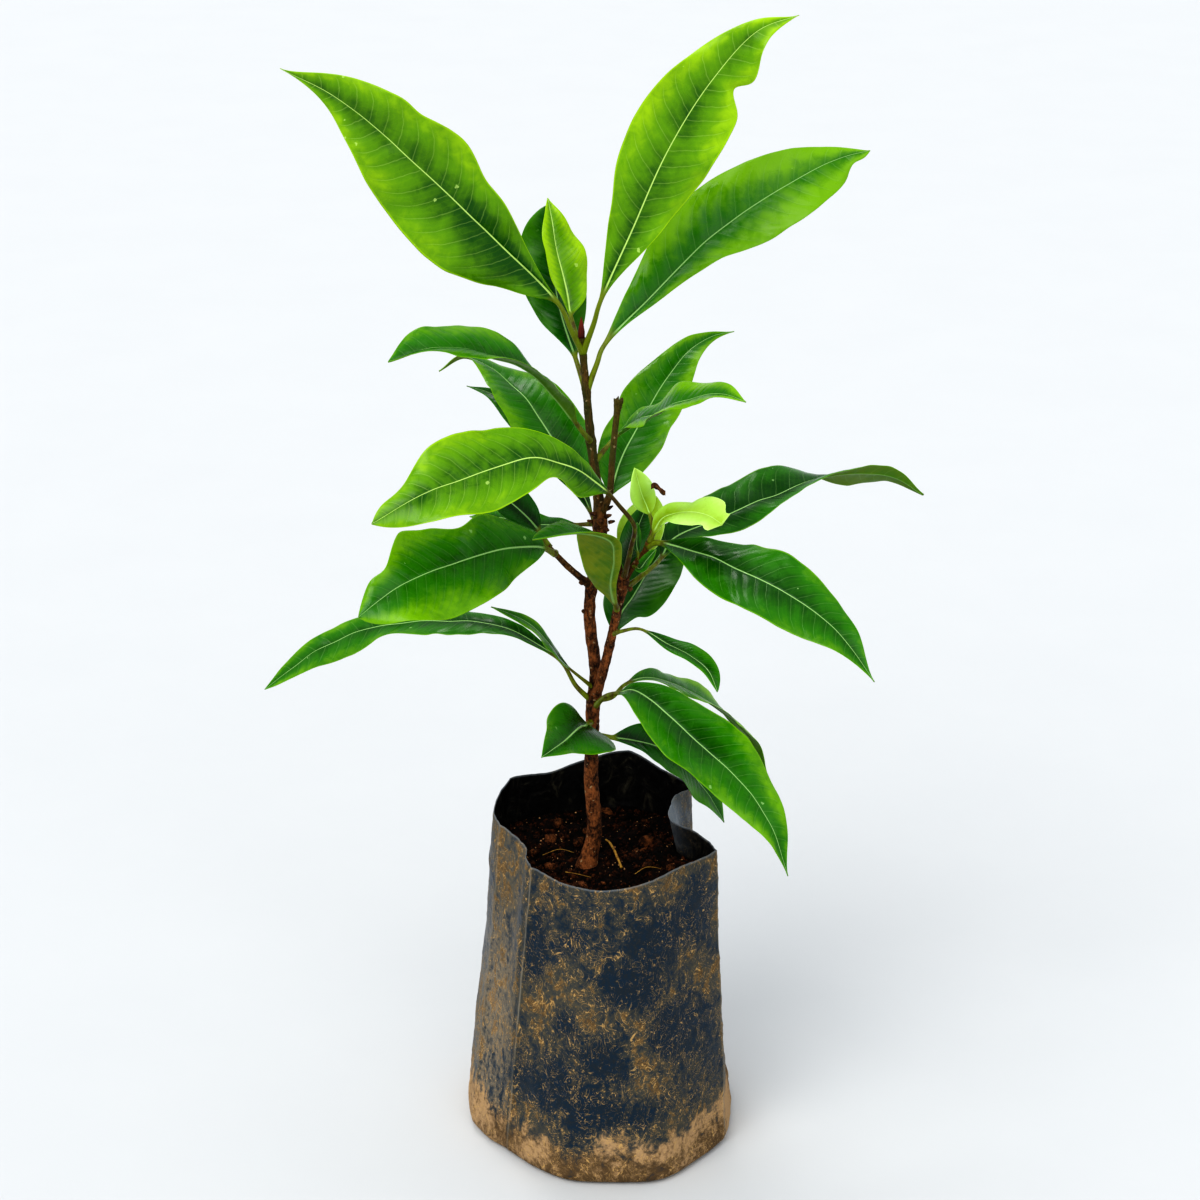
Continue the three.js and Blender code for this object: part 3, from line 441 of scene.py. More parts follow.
def make_piece(name, shape, material, replaced=()):
    """A mesh object at the origin from points, faces and marks, riding on the plant's one body."""
    points, faces, marks = shape
    mesh = bpy.data.meshes.new(name)
    mesh.from_pydata(points.tolist(), [], faces)
    for mark, values in marks.items():
        attribute = mesh.attributes.new(mark, "FLOAT_VECTOR", "POINT")
        attribute.data.foreach_set("vector", values.astype(np.float32).ravel())
    mesh.shade_smooth()
    mesh.materials.append(material)
    piece = add_object(name, mesh)
    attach(piece, "root")
    if replaced:
        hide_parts(*replaced)


# Materials

def operator(operation):
    """A method that makes a Math node of a value and a second one."""
    return lambda value, other=0.0: value.wiring.math(operation, value, other)


class Value:
    """An output of a node. Adding, subtracting and multiplying values makes Math nodes."""

    __add__ = operator("ADD")
    __sub__ = operator("SUBTRACT")
    __mul__ = operator("MULTIPLY")
    __abs__ = operator("ABSOLUTE")

    def __init__(self, wiring, socket):
        self.wiring = wiring
        self.socket = socket

    def __rsub__(self, other):
        return self.wiring.math("SUBTRACT", other, self)


class Wiring:
    """Adds nodes to one node tree and joins them."""

    def __init__(self, tree):
        self.tree = tree

    def feed(self, socket, value):
        """Joins a value to a socket, or sets the socket to a number, a vector or a colour."""
        if isinstance(value, Value):
            self.tree.links.new(value.socket, socket)
        else:
            socket.default_value = (*value, 1) if socket.type == "RGBA" else value

    def node(self, kind, settings, inputs):
        """The outputs of a new node, with its inputs given by name or by place."""
        node = self.tree.nodes.new(kind)
        for key, value in settings.items():
            setattr(node, key, value)
        for key, value in inputs.items():
            self.feed(node.inputs[key], value)
        return [Value(self, output) for output in node.outputs]

    def group(self, tree, **inputs):
        """The outputs of a node group by name."""
        values = self.node("ShaderNodeGroup", {"node_tree": tree}, inputs)
        return {value.socket.name: value for value in values}

    def math(self, operation, first, second=0.0):
        """A Math node of one or two values."""
        return self.node("ShaderNodeMath", {"operation": operation}, {0: first, 1: second})[0]

    def ramp(self, value, low, high, first=0.0, last=1.0):
        """From `first` to `last`, smoothly, as the value goes from low to high."""
        reach = {"Value": value, "From Min": low, "From Max": high, "To Min": first, "To Max": last}
        return self.node("ShaderNodeMapRange", {"interpolation_type": "SMOOTHSTEP"}, reach)[0]

    def mix(self, share, first, second):
        """Two colours mixed by a share of the second."""
        return self.node("ShaderNodeMix", {"data_type": "RGBA"}, {0: share, 6: first, 7: second})[2]

    def layers(self, colour, *laid):
        """A colour with others laid over it in turn, each by its own share."""
        for share, other in laid:
            colour = self.mix(share, colour, other)
        return colour

    def mark(self, name):
        """The three values of a vector attribute of the mesh."""
        vector = self.node("ShaderNodeAttribute", {"attribute_name": name}, {})[1]
        return self.node("ShaderNodeSeparateXYZ", {}, {0: vector})

    def place(self, stretch=(1, 1, 1)):
        """Object coordinates, stretched."""
        place = self.node("ShaderNodeTexCoord", {}, {})[3]
        return self.node("ShaderNodeMapping", {}, {"Vector": place, "Scale": stretch})[0]

    def noise(self, vector, scale, detail=3.0, roughness=0.55, distortion=0.0):
        """Fractal noise from 0 to 1."""
        return self.node("ShaderNodeTexNoise", {}, {
            "Vector": vector, "Scale": scale, "Detail": detail, "Roughness": roughness,
            "Distortion": distortion})[0]

    def surface(self, colour, roughness, specular=0.5, relief=None):
        """Feeds the Principled shader. The relief is a height, its strength and its depth."""
        shader = self.tree.nodes["Principled BSDF"].inputs
        self.feed(shader["Base Color"], colour)
        self.feed(shader["Roughness"], roughness)
        shader["Specular IOR Level"].default_value = specular
        if relief:
            parts = dict(zip(("Height", "Strength", "Distance"), relief))
            self.feed(shader["Normal"], self.node("ShaderNodeBump", {}, parts)[0])


def new_group(name, **inputs):
    """The wiring of a new node group with number inputs, and the inputs' values by name."""
    tree = bpy.data.node_groups.new(name, "ShaderNodeTree")
    for label, value in inputs.items():
        socket = tree.interface.new_socket(name=label, in_out="INPUT", socket_type="NodeSocketFloat")
        socket.default_value = value
    w = Wiring(tree)
    return w, {value.socket.name: value for value in w.node("NodeGroupInput", {}, {})}


def close_group(w, results):
    """The finished node group, with its named number outputs."""
    for label in results:
        w.tree.interface.new_socket(name=label, in_out="OUTPUT", socket_type="NodeSocketFloat")
    w.node("NodeGroupOutput", {}, results)
    return w.tree


def new_material(name):
    """A material and the wiring of its node tree."""
    material = bpy.data.materials.new(name)
    material.use_nodes = True
    return material, Wiring(material.node_tree)


def specks_group():
    """Small specks strewn over a surface: round the points of a warped cell pattern, where the
    cell's random colour is above a limit, each of its own size."""
    w, given = new_group("specks", Scale=400, Size=0.2, Rarity=0.8)
    place = w.place()
    warp = w.node("ShaderNodeTexNoise", {}, {"Vector": place, "Scale": 900, "Detail": 3})[1]
    shift = w.node("ShaderNodeVectorMath", {"operation": "SCALE"}, {"Vector": warp, "Scale": 0.0016})[0]
    moved = w.node("ShaderNodeVectorMath", {"operation": "ADD"}, {0: place, 1: shift})[0]
    cells = {"Vector": moved, "Scale": given["Scale"]}
    distance, colour = w.node("ShaderNodeTexVoronoi", {"feature": "F1"}, cells)[:2]
    lots = w.node("ShaderNodeSeparateColor", {}, {"Color": colour})
    chosen = w.math("GREATER_THAN", lots[0], given["Rarity"])
    inside = w.math("LESS_THAN", distance, given["Size"] * lots[1])
    return close_group(w, {"Speck": chosen * inside})


def blade_group():
    """What is drawn on a blade: side veins and finer ones from the vein count stored in the mesh,
    the swollen panels between them, the midrib, the margin, the under side, the petiole, and
    clouds of lighter and darker green."""
    w, given = new_group("blade pattern", **{"Vein Width": 0.05})
    side, along, count = w.mark("blade")
    rib, under, stalk = w.mark("section")
    edge = abs(side)
    place = w.place()
    wander = (w.noise(place, 160) - 0.5) * 0.3
    away = abs(w.math("FRACT", count + wander) - 0.5)
    third = abs(w.math("FRACT", count * 3 + wander * 5) - 0.5)
    blade = 1 - stalk
    quiet = w.ramp(edge, 0.95, 0.7) * blade
    return close_group(w, {
        "Side": edge,
        "Along": along,
        "Vein": w.ramp(away, 0.5 - given["Vein Width"], 0.5) * quiet,
        "Fine": w.ramp(third, 0.36, 0.5) * quiet,
        "Panel": w.ramp(away, 0.48, 0.12) * quiet,
        "Rib": w.ramp(abs(rib), 0.62, 0.32) * blade,
        "Margin": w.ramp(edge, 0.95, MARGIN) * blade,
        "Under": under,
        "Stalk": stalk,
        "Cloud": w.noise(place, 45, 3, 0.55, 0.5),
        "Patch": w.noise(place, 230, 4, 0.6, 0.8),
    })


def leaf_material(name, centre, blade, margin, rib, under, gloss, veining):
    """A glossy blade, darker along its midrib and at its foot, in panels between fine pale veins,
    with a duller olive under side. The panels are painted lighter in their middles, as light on
    their bulges; the pale margin is partly its own pale edge and partly a painted glow of light
    through it; the under side has patches of lighter yellow olive, partly its own yellowing and
    partly painted light. Each leaf's own lightness value makes it lighter or darker as a whole,
    partly its own green and partly painted light and shade."""
    material, w = new_material(name)
    drawn = w.group(BLADE_PATTERN)
    side, vein, panel, turned = (drawn[key] for key in ("Side", "Vein", "Panel", "Under"))
    speck = w.group(SPECKS, Scale=300, Size=0.2, Rarity=0.9)["Speck"]
    tone, brownness, yellowing_and_light = w.mark("tone")
    cloud, patch = drawn["Cloud"] - 0.5, drawn["Patch"] - 0.5
    # How light each point of the blade is: lighter towards its margin and tip and in clouds of its own
    # green; painted lighter in the middle of each panel, as light on its bulge, which leaves it darker
    # towards the vein grooves; and raised or lowered by the leaf's lightness value, partly its own green
    # and partly painted light and shade.
    greenness_and_light = w.ramp(side, 0, 1) * 0.6 + w.ramp(drawn["Along"], 0, 0.75) * 0.42
    greenness_and_light = greenness_and_light + cloud + patch * 0.5 + panel * (0.1 * veining) + tone * 0.45
    green = w.layers(
        centre, (w.ramp(greenness_and_light, 0.12, 0.85), blade), (w.ramp(greenness_and_light, 0.75, 1.45), margin),
        (drawn["Fine"] * (0.05 * veining), margin), (vein * (0.16 * veining), rib), (speck * 0.5, rib))
    # Patches of lighter yellow olive on the underside: partly its own yellowing, partly painted light
    # shining through the blade.
    lit = w.mix(w.ramp(patch + side * 0.25, -0.1, 0.3), under, LIT_OLIVE)
    olive = w.layers(
        under, (w.ramp(cloud, -0.15, 0.2), w.mix(0.5, under, blade)), (yellowing_and_light, lit),
        (vein * (0.15 * veining), rib))
    brown = w.ramp(w.noise(w.place((1, 1, 0.3)), 500, 4) + brownness, 0.35, 0.75)
    colour = w.layers(
        w.mix(w.ramp(turned, 0.35, 0.65), green, olive),
        # the pale margin: partly the blade's own pale edge, partly a painted glow of light through it
        (drawn["Rib"] * w.ramp(turned, 0.35, 0.65, 0.9, 0.45), rib), (drawn["Margin"] * 0.7, margin),
        (drawn["Stalk"], w.mix(brown, STALK_OLIVE, STALK_BROWN)))
    roughness = w.ramp(turned, 0.35, 0.65) * 0.22 + gloss + (cloud + patch) * 0.6
    height = panel * 0.8 - vein + w.noise(w.place(), 900, 3) * 0.5
    w.surface(colour, roughness, 0.25, (height, 0.22 * veining, 0.0002))
    return material


def bark_material(name, deep, bark, young, from_height, to_height):
    """Fissured bark: dark in its furrows, lit on its ridges, with pale corky dots, turning into
    smooth young bark between two heights."""
    material, w = new_material(name)
    relief, height, _ = w.mark("bark")
    grain = w.noise(w.place((1, 1, 0.6)), 1300, 6, 0.75)
    blotch = w.noise(w.place(), 260, 6, 0.7)
    height = height + (w.noise(w.place(), 120) - 0.5) * 0.03
    fresh = (height, from_height * MM, to_height * MM)
    streak = w.ramp(w.noise(w.place((1, 1, 0.12)), 900, 3), 0.4, 0.7, 0, 0.35)
    streaks = w.layers(young, (streak, bark), (w.ramp(grain, 0.55, 0.35, 0, 0.55), deep))
    ridge = w.ramp(relief * 0.2 + grain * 0.8 + blotch * 0.6, 0.66, 1)
    dot = w.group(SPECKS, Scale=900, Size=0.42, Rarity=0.8)["Speck"]
    colour = w.layers(deep, (ridge, bark), (w.ramp(*fresh), streaks), (dot * 0.75, CORK))
    w.surface(colour, w.ramp(*fresh, 0.8, 0.5), 0.2, (grain + blotch + dot * 0.4, 0.9, 0.0007))
    return material


def film_material():
    """Black polythene film under dried mud: clean patches, a thin uneven veil, thick smears,
    scratches and flecks, more of it towards the foot, and a pale cut edge. Painted light is laid on
    it too: highlights along its creases and down its greyed sides, which are partly dust, light
    through the see-through fold at the rim, and painted shade that darkens its inside."""
    material, w = new_material("muddy_film")
    crease, share, inside = w.mark("film")
    side, clean, clear_fold_light = w.mark("wear_and_light")
    place, slant = w.place(), w.place((1, 1, 0.7))
    drift = w.noise(place, 30, 4, 0.55, 0.8)
    patch = w.noise(slant, 150, 8, 0.7, 1.2)
    grain = w.noise(place, 560, 7, 0.75, 0.4)
    low = w.ramp(share, 0.26, 0.02)

    def blend(first, second, third):
        return drift * first + patch * second + grain * third

    # A thin veil of dust, greyer sides that are partly dust and partly a painted highlight, thick smears,
    # and the pale earth round the foot
    amount = blend(0.35, 0.35, 0.3) + low * 0.06 - clean * 0.14 + crease * 0.05 + side * 0.03
    veil = w.ramp(amount, 0.43, 0.57)
    lower = side * w.ramp(share + drift * 0.5, 1.1, 0.75, 0.25, 1)
    dust_and_highlight = lower * w.ramp(blend(0.2, 0.4, 0.4), 0.42, 0.56)
    thick = w.ramp(amount + (patch - 0.5) * 0.35, 0.54, 0.61)
    foot = w.ramp(low + (blend(0.45, 0.4, 0.15) - 0.5) * 3.4 + lower * 0.3, 0.4, 0.75)
    earth = w.ramp(blend(0.4, 0.25, 0.35) + side * 0.08, 0.45, 0.58)

    # Scratches, flecks, and a painted highlight along the creases
    swirl = abs(w.noise(slant, 130, 1, 0.5, 5) - 0.5)
    scratch = w.ramp(swirl, 0.02, 0.004) * w.ramp(patch, 0.42, 0.54) * (1 - clean * 0.8)
    fleck = w.ramp(w.noise(place, 900, 3, 0.6, 1), 0.605, 0.655) * w.ramp(patch, 0.42, 0.6)
    crease_highlight = w.ramp(crease, 0.5, 0.95) * w.ramp(drift, 0.3, 0.6, 0.1, 0.55)

    colour = w.layers(
        w.mix(w.ramp(grain, 0.3, 0.7), FILM_BLUE, FILM_GREY),
        (veil * 0.8, DUST),
        # greyer sides: partly dust, partly a painted highlight
        (dust_and_highlight * 0.95, DUST_AND_HIGHLIGHT_GREY),
        (thick * 0.85, w.mix(w.ramp(grain, 0.42, 0.66), DARK_MUD, MUD)),
        (foot * 0.9, w.mix(earth, DARK_MUD, PALE_MUD)),
        (scratch * 0.8, OCHRE),
        (fleck * 0.85, OCHRE),
        # a painted highlight along the crease lines, patchy
        (crease_highlight, CREASE_HIGHLIGHT),
        # painted light: the see-through fold at the rim, lightened as if lit from behind
        (clear_fold_light * 0.75, CLEAR_FILM_LIGHT),
        # the inside: black film stained by soil, darkened further to near black as painted shade
        (inside * (1 - clear_fold_light * 0.8), w.mix(w.ramp(patch, 0.52, 0.66) * 0.5, FILM_INSIDE_SHADE, DUST)),
        # a thin pale line along the cut edge at the rim, in the grey of that painted light
        (w.ramp(share, 0.993, 0.999, 0, 0.3), CLEAR_FILM_LIGHT),
    )
    mud = w.math("MAXIMUM", w.math("MAXIMUM", thick, foot), veil * 0.6)
    height = mud * 0.5 + grain * 0.6 + w.math("MAXIMUM", scratch, fleck) * 0.5
    w.surface(colour, w.ramp(mud, 0, 1, 0.34, 0.88), 0.24, (height, 0.55, 0.0005))
    return material


def soil_material(name, deep, grain_colour, pale):
    """Moist potting soil: dark crumbs of two browns with a few pale grains."""
    material, w = new_material(name)
    coarse = w.noise(w.place(), 260, 8, 0.7)
    fine = w.noise(w.place(), 1400, 4, 0.7)
    lit = w.ramp(coarse * 0.6 + fine * 0.4, 0.45, 0.64)
    speck = w.group(SPECKS, Scale=900, Size=0.4, Rarity=0.93)["Speck"]
    colour = w.layers(deep, (lit, grain_colour), (speck * 0.7, pale))
    w.surface(colour, w.ramp(fine, 0.3, 0.7, 0.75, 0.98), 0.12, (coarse + fine, 0.8, 0.0008))
    return material


def plain_material(name, first, second, scale, roughness):
    """Two close colours in fine streaks, for small parts."""
    material, w = new_material(name)
    streaks = w.noise(w.place((1, 1, 0.4)), scale, 5, 0.6)
    colour = w.mix(w.ramp(streaks, 0.35, 0.65), first, second)
    rough = w.ramp(streaks, 0.3, 0.7, roughness, roughness + 0.15)
    w.surface(colour, rough, 0.25, (streaks, 0.4, 0.0002))
    return material


# Base colours, as light values
LIT_OLIVE = (0.2, 0.25, 0.01)
STALK_OLIVE = (0.17, 0.22, 0.008)
STALK_BROWN = (0.075, 0.04, 0.008)
CORK = (0.42, 0.3, 0.16)
FILM_BLUE = (0.003, 0.022, 0.047)
FILM_GREY = (0.016, 0.022, 0.027)
FILM_INSIDE_SHADE = (0.003, 0.0025, 0.0025)
CLEAR_FILM_LIGHT = (0.3, 0.33, 0.37)
CREASE_HIGHLIGHT = (0.3, 0.27, 0.22)
DUST_AND_HIGHLIGHT_GREY = (0.27, 0.225, 0.165)
DUST = (0.1, 0.088, 0.058)
MUD = (0.24, 0.15, 0.06)
PALE_MUD = (0.44, 0.29, 0.155)
OCHRE = (0.56, 0.36, 0.14)
DARK_MUD = (0.12, 0.072, 0.03)

SPECKS = specks_group()
BLADE_PATTERN = blade_group()

# Colours of a blade's centre, its middle, its margin, its ribs and its under side, then its
# roughness and the strength of its veins.
# The lime finish is partly painted light, the yellow-green glow of top leaves lit from behind, and the
# dark finish partly painted shade, for leaves that hang in the shade of others; both are also the leaves'
# own lighter and darker greens.
LEAF_FINISHES = {
    "lime_leaf": leaf_material(
        "bright_leaf", (0.009, 0.08, 0.0004), (0.12, 0.3, 0.0004), (0.36, 0.6, 0.001),
        (0.56, 0.78, 0.22), (0.11, 0.22, 0.002), 0.3, 1),
    "green_leaf": leaf_material(
        "green_leaf", (0.005, 0.058, 0.0004), (0.026, 0.17, 0.0004), (0.18, 0.4, 0.001),
        (0.36, 0.6, 0.22), (0.075, 0.17, 0.002), 0.28, 0.75),
    "dark_leaf": leaf_material(
        "dark_leaf", (0.002, 0.028, 0.0004), (0.009, 0.1, 0.0004), (0.06, 0.23, 0.001),
        (0.28, 0.5, 0.17), (0.055, 0.12, 0.002), 0.3, 0.6),
    "pale_leaf": leaf_material(
        "pale_leaf", (0.28, 0.44, 0.008), (0.42, 0.68, 0.1), (0.58, 0.86, 0.26),
        (0.56, 0.82, 0.25), (0.34, 0.46, 0.012), 0.34, 0.35),
}


# Leaves

def half_width(leaf, side, v):
    """One half's width along a blade: half * ((v/p)^p * ((1-v)/(1-p))^(1-p))^taper, widest at the
    peak p and nothing at foot and tip, less a smooth hollow for each of its dents."""
    peak = leaf["peak"][side]
    swell = ((v / peak) ** peak * ((1 - v) / (1 - peak)) ** (1 - peak)) ** leaf["taper"]
    width = leaf["half"][side] * swell
    for dent_side, middle, reach, depth in leaf["dents"]:
        if (dent_side > 0) == bool(side):
            width = width - depth * bump(v, middle, reach)
    return np.maximum(width, 0) * MM


def facing(directions, v):
    """The direction that the upper side faces, read off a list from foot to tip."""
    table = np.atleast_2d(np.array(directions, float))
    return columns_at(v, np.linspace(0, 1, len(table)), table)


def leaf_columns():
    """Places across a leaf from -1 to 1, closer together at the midrib and at the margins."""
    even = np.linspace(-1, 1, 2 * LEAF_COLUMNS + 1)
    return np.union1d(np.sign(even) * np.abs(even) ** CROWDING, [-MARGIN, MARGIN])


def rib_radius(distance, length, stalk, widest):
    """The radius of petiole and midrib: a collar at the stem, a gentle taper to where the petiole
    has sunk into the blade, and from there down to the tip."""
    petiole = min(PETIOLE[1], PETIOLE[0] + widest * PETIOLE_GROWTH) * MM
    sunk = min(length * 0.6, stalk + widest * RIB_REACH * MM)
    collar = COLLAR * MM * np.exp(-distance / (COLLAR_REACH * MM))
    run = np.clip(distance / sunk, 0, 1)
    beyond = np.clip((distance - sunk) / (length - sunk), 0, 1)
    radius = (petiole + collar) * (1 - run) + petiole * RIB_THIN * run
    return radius * (1 - beyond) + RIB_TIP * MM * beyond


def leaf_shape(leaf, seed):
    """A leaf as one closed skin. Each section is a ring: its upper side from left to right, then
    its lower side back. Along the petiole the ring is a circle, upper and lower z = r*sqrt(1-s^2).
    In the blade it is a thin folded sheet: z = half*tan(fold)*(|s| - cup*s^2) + the margin's
    ripples, quilted between the side veins, grooved above and ridged below the midrib."""
    path = Route([axis_at(leaf["on"], leaf["at"]), *leaf["route"]])
    stalk = leaf["stalk"] * MM
    blade = path.length - stalk
    distance = np.linspace(0, path.length, max(50, round(path.length / MM / LEAF_STEP)))
    centre, along = path.read(distance)
    v = np.clip((distance - stalk) / blade, 0, 1)
    up = facing(leaf["face"], v)
    up = unit(up - along * (up * along).sum(-1, keepdims=True))
    right = np.cross(along, up)

    s = leaf_columns()[None, :]
    v, distance = v[:, None], distance[:, None]
    widths = [half_width(leaf, side, v) for side in (0, 1)]
    waver_row, frill_row, vein_row = (np.sign(s) + row for row in NOISE_ROWS)
    waver = lattice_noise(seed + 900)(distance / (WAVER[1] * MM), waver_row)
    half = np.where(s < 0, *widths) * (1 + WAVER[0] * waver)
    radius = rib_radius(distance, path.length, stalk, max(leaf["half"]))
    flat = smoothstep(*TUBE_END, (widths[0] + widths[1]) / (2 * radius))
    flat = np.where(v > 0.5, np.maximum(flat, 0.85), flat)

    height, count, phase = leaf["wave"]
    calm = np.minimum(1, half / (CALM_WIDTH * MM))
    swing = np.sin(2 * np.pi * count * v + phase * np.where(s < 0, 1, 2))
    rise = math.tan(math.radians(leaf["fold"]))
    x = np.hypot(half, radius) * s
    noise = lattice_noise(seed)
    buckle = noise(distance / (BUCKLE[1] * MM), x / (BUCKLE[2] * MM))
    frill = lattice_noise(seed + 500)(distance / (FRILL[1] * MM), frill_row)
    ripples = height * s * s * swing + BUCKLE[0] * buckle + FRILL[0] * s**4 * frill
    lift = half * rise * (np.abs(s) - CUP * s * s) + ripples * MM * calm

    sweep = (VEIN_SWEEP[0] * np.abs(x) + VEIN_SWEEP[1] * half * s**4) / blade
    veins = (v - sweep) * VEINS + np.where(s < 0, 0, VEIN_STAGGER) + VEIN_WANDER * noise(v * 6, vein_row)
    window = smoothstep(0.02, 0.2, np.abs(s)) * smoothstep(1, 0.8, np.abs(s)) * calm
    lift = lift + QUILT * MM * window * np.sin(np.pi * veins) ** 2

    thick = LEAF_FILM * MM / 2 * np.sqrt(np.maximum(0, 1 - s**8))
    groove, ridge = (depth * radius * bump(x, 0, wide * radius) for depth, wide in (GROOVE, RIDGE))
    circle = radius * np.sqrt(1 - s * s)
    upper = circle * (1 - flat) + (lift + thick - groove) * flat
    lower = -circle * (1 - flat) + (lift - thick - ridge) * flat

    def section(above, below):
        return np.concatenate([above, below[:, -2:0:-1]], axis=1)

    def place(z):
        return centre[:, None] + right[:, None] * x[..., None] + up[:, None] * z[..., None]

    drawn = stacked(s, v, veins)
    above = stacked(x / radius, 0, 1 - flat)
    below = stacked(x / radius * 0.8, 1, 1 - flat)
    above[:, [0, -1], 1] = 0.5
    marks = {"blade": section(drawn, drawn), "section": section(above, below)}
    return loft(section(place(upper), place(lower)), marks)


def make_leaves():
    for seed, (name, entry) in enumerate(LEAVES.items()):
        leaf = {**PLAIN, **entry}
        shape = leaf_shape(leaf, seed + 1)
        # The leaf's lightness value (partly painted light and shade), the brown of its petiole and the
        # share of lit yellow olive on its underside, on every point.
        tone = [leaf["tone"], leaf["brown"], leaf["olive"]]
        shape[2]["tone"] = np.tile(tone, (len(shape[0]), 1))
        make_piece(name + "_blade", shape, LEAF_FINISHES[leaf["slot"]], [name])


# Stems

def stem_shape(stem, seed, roughness, ragged):
    """A stem as one closed skin: circles along its route, of radius a*(1-t) + b*t with a hump and
    a scar at each knot, roughened by furrows that run along it; a torn tip has its last rings
    pushed in and out along the stem."""
    points = stem["route"]
    if "on" in stem:
        points = [axis_at(stem["on"], stem["at"]), *points]
    path = Route(points)
    distance = np.linspace(0, path.length, round(path.length / MM / STEM_STEP))
    centre, along = path.read(distance)
    across = unit(np.array([1.0, 0, 0]) - along * along[:, :1])
    turn = turns(STEM_AROUND)
    lap = turn / (2 * np.pi)
    share = (distance / path.length)[:, None]
    down = (distance / MM)[:, None]
    height = centre[:, 2:] / MM
    radius = stem["radius"][0] * (1 - share) + stem["radius"][1] * share
    for knot, extra, reach in stem["knots"]:
        radius = radius + extra * bump(height, knot, reach)
        radius = radius - SCAR[0] * bump(height, knot - SCAR[2] * reach, SCAR[1])
    flare = FLARE[0] * np.cos(3 * turn + 1) * bump(height, SOIL_TOP, FLARE[1])
    furrows = sum(weight * lattice_noise(seed + number, around)(lap * around, down / length)
                  for number, (around, length, weight) in enumerate(FURROWS))
    radius = (radius + flare + roughness * furrows) * MM
    tip = smoothstep(1 - TORN * MM / path.length, 1, share)
    around = FURROWS[1][0]
    torn = ragged * MM * tip * lattice_noise(seed + 1, around)(lap * around, TORN_ROW)
    rings = circles(centre, along, across, turn, radius) + along[:, None] * torn[..., None]
    return loft(rings, {"bark": stacked(0.5 + 0.4 * furrows, centre[:, 2:], 0)})


def make_stems():
    old = bark_material(
        "stem_bark", (0.018, 0.006, 0.0018), (0.31, 0.11, 0.033), (0.06, 0.06, 0.008), 222, 256)
    twig = bark_material(
        "twig_bark", (0.025, 0.011, 0.003), (0.22, 0.1, 0.022), (0.085, 0.075, 0.01), 222, 262)
    shoot = bark_material(
        "shoot_bark", (0.06, 0.024, 0.005), (0.24, 0.09, 0.014), (0.2, 0.16, 0.014), 226, 244)
    looks = {
        "main_stem": (old, 0.16, 0), "second_stem": (old, 0.14, 0), "left_twig": (twig, 0.07, 0),
        "broken_twig": (twig, 0.07, 1.4), "young_shoot": (shoot, 0.04, 0), "dead_snag": (old, 0.12, 1.6),
    }
    for number, (name, (material, roughness, ragged)) in enumerate(looks.items()):
        shape = stem_shape(STEMS[name], 100 + 2 * number, roughness, ragged)
        slot = "young_bark" if name == "young_shoot" else "bark"
        make_piece(name + "_bark", shape, material, [name])


def peg_shapes(seed):
    """Small broken scales on the stems, joined: each a blunt cone of seven sides, its radius
    shrinking with the square of the way up and uneven by lattice noise."""
    noise = lattice_noise(seed)
    turn = turns(7)
    share = np.array([0, 0.4, 0.8, 1])[:, None]
    pegs = []
    for number, (foot, direction, length, radius) in enumerate(PEGS):
        aim = unit(np.array(direction, float))
        across = unit(np.cross(aim, (0.3, 0.2, 0.9)))
        uneven = 1 + 0.3 * noise(turn * 1.3 + number, 3 * share + number)
        wide = radius * (1.15 - 0.75 * share**2) * uneven
        centre = np.array(foot) + aim * length * share
        rings = circles(centre, aim[None], across[None], turn, wide)
        pegs.append(loft(rings * MM, {}))
    return join(pegs)


def bud_shape():
    """The terminal bud: two long scales pressed together. Circles up its axis with the radius read
    off its profile, flattened by 1 - 0.25*sin^2, with a seam 0.12 deep where the scales meet."""
    foot = STEMS["main_stem"]["route"][-1]
    profile = np.array([[0, 1.0], [0.5, 1.2], [2, 1.2], [4.5, 0.75], [6.3, 0.3], [7, 0.08]])
    height = np.linspace(0, 7, 30)[:, None]
    turn = turns(32)
    radius = np.interp(height, profile[:, 0], profile[:, 1])
    radius = radius * (1 - 0.25 * np.sin(turn) ** 2) * (1 - 0.12 * np.cos(turn) ** 40)
    x, y = foot[0] + radius * np.cos(turn), foot[1] + radius * np.sin(turn)
    return loft(stacked(x, y, foot[2] + 0.1 + height) * MM, {})


def scrap_shape():
    """A dry, curled scrap caught between the youngest leaves: a strip 5 long and 2.4 wide, rolled
    up across its width and bent along its length, 0.3 thick."""
    along = np.linspace(0, 1, 24)[:, None]
    s = np.linspace(-1, 1, 9)[None, :]
    noise = lattice_noise(77)
    wide = 1.2 * np.sin(np.pi * (0.1 + 0.8 * along)) * (1 + 0.35 * noise(along * 9, 3 * s))
    x = 16.2 + 4.6 * along
    y = -37 + wide * s
    curl = 0.64 * np.sin(5 * along) + 0.9 * s * s + 0.5 * noise(along * 6 + 9, s * 2)
    z = 256.6 - 1.6 * along + curl
    top, low = stacked(x, y, z + 0.15), stacked(x, y, z - 0.15)
    return loft(np.concatenate([top, low[:, ::-1]], axis=1)[:, ::-1] * MM, {})


# Bag and soil

def loop(points, place):
    """A closed centripetal Catmull-Rom curve through the points, read at fractional places."""
    p = np.array(points, float)
    if p.shape[1] == 2:
        p = np.hstack([p, np.zeros((len(p), 1))])
    return spline(np.vstack([p[-1:], p, p[:2]]), np.mod(place, len(p)))


BAG_PLACES = np.arange(BAG_CORNERS * BAG_POINTS) / BAG_POINTS
FOOT_LINE = loop(BAG_FOOT, BAG_PLACES)
RIM_LINE = loop(BAG_RIM, BAG_PLACES)


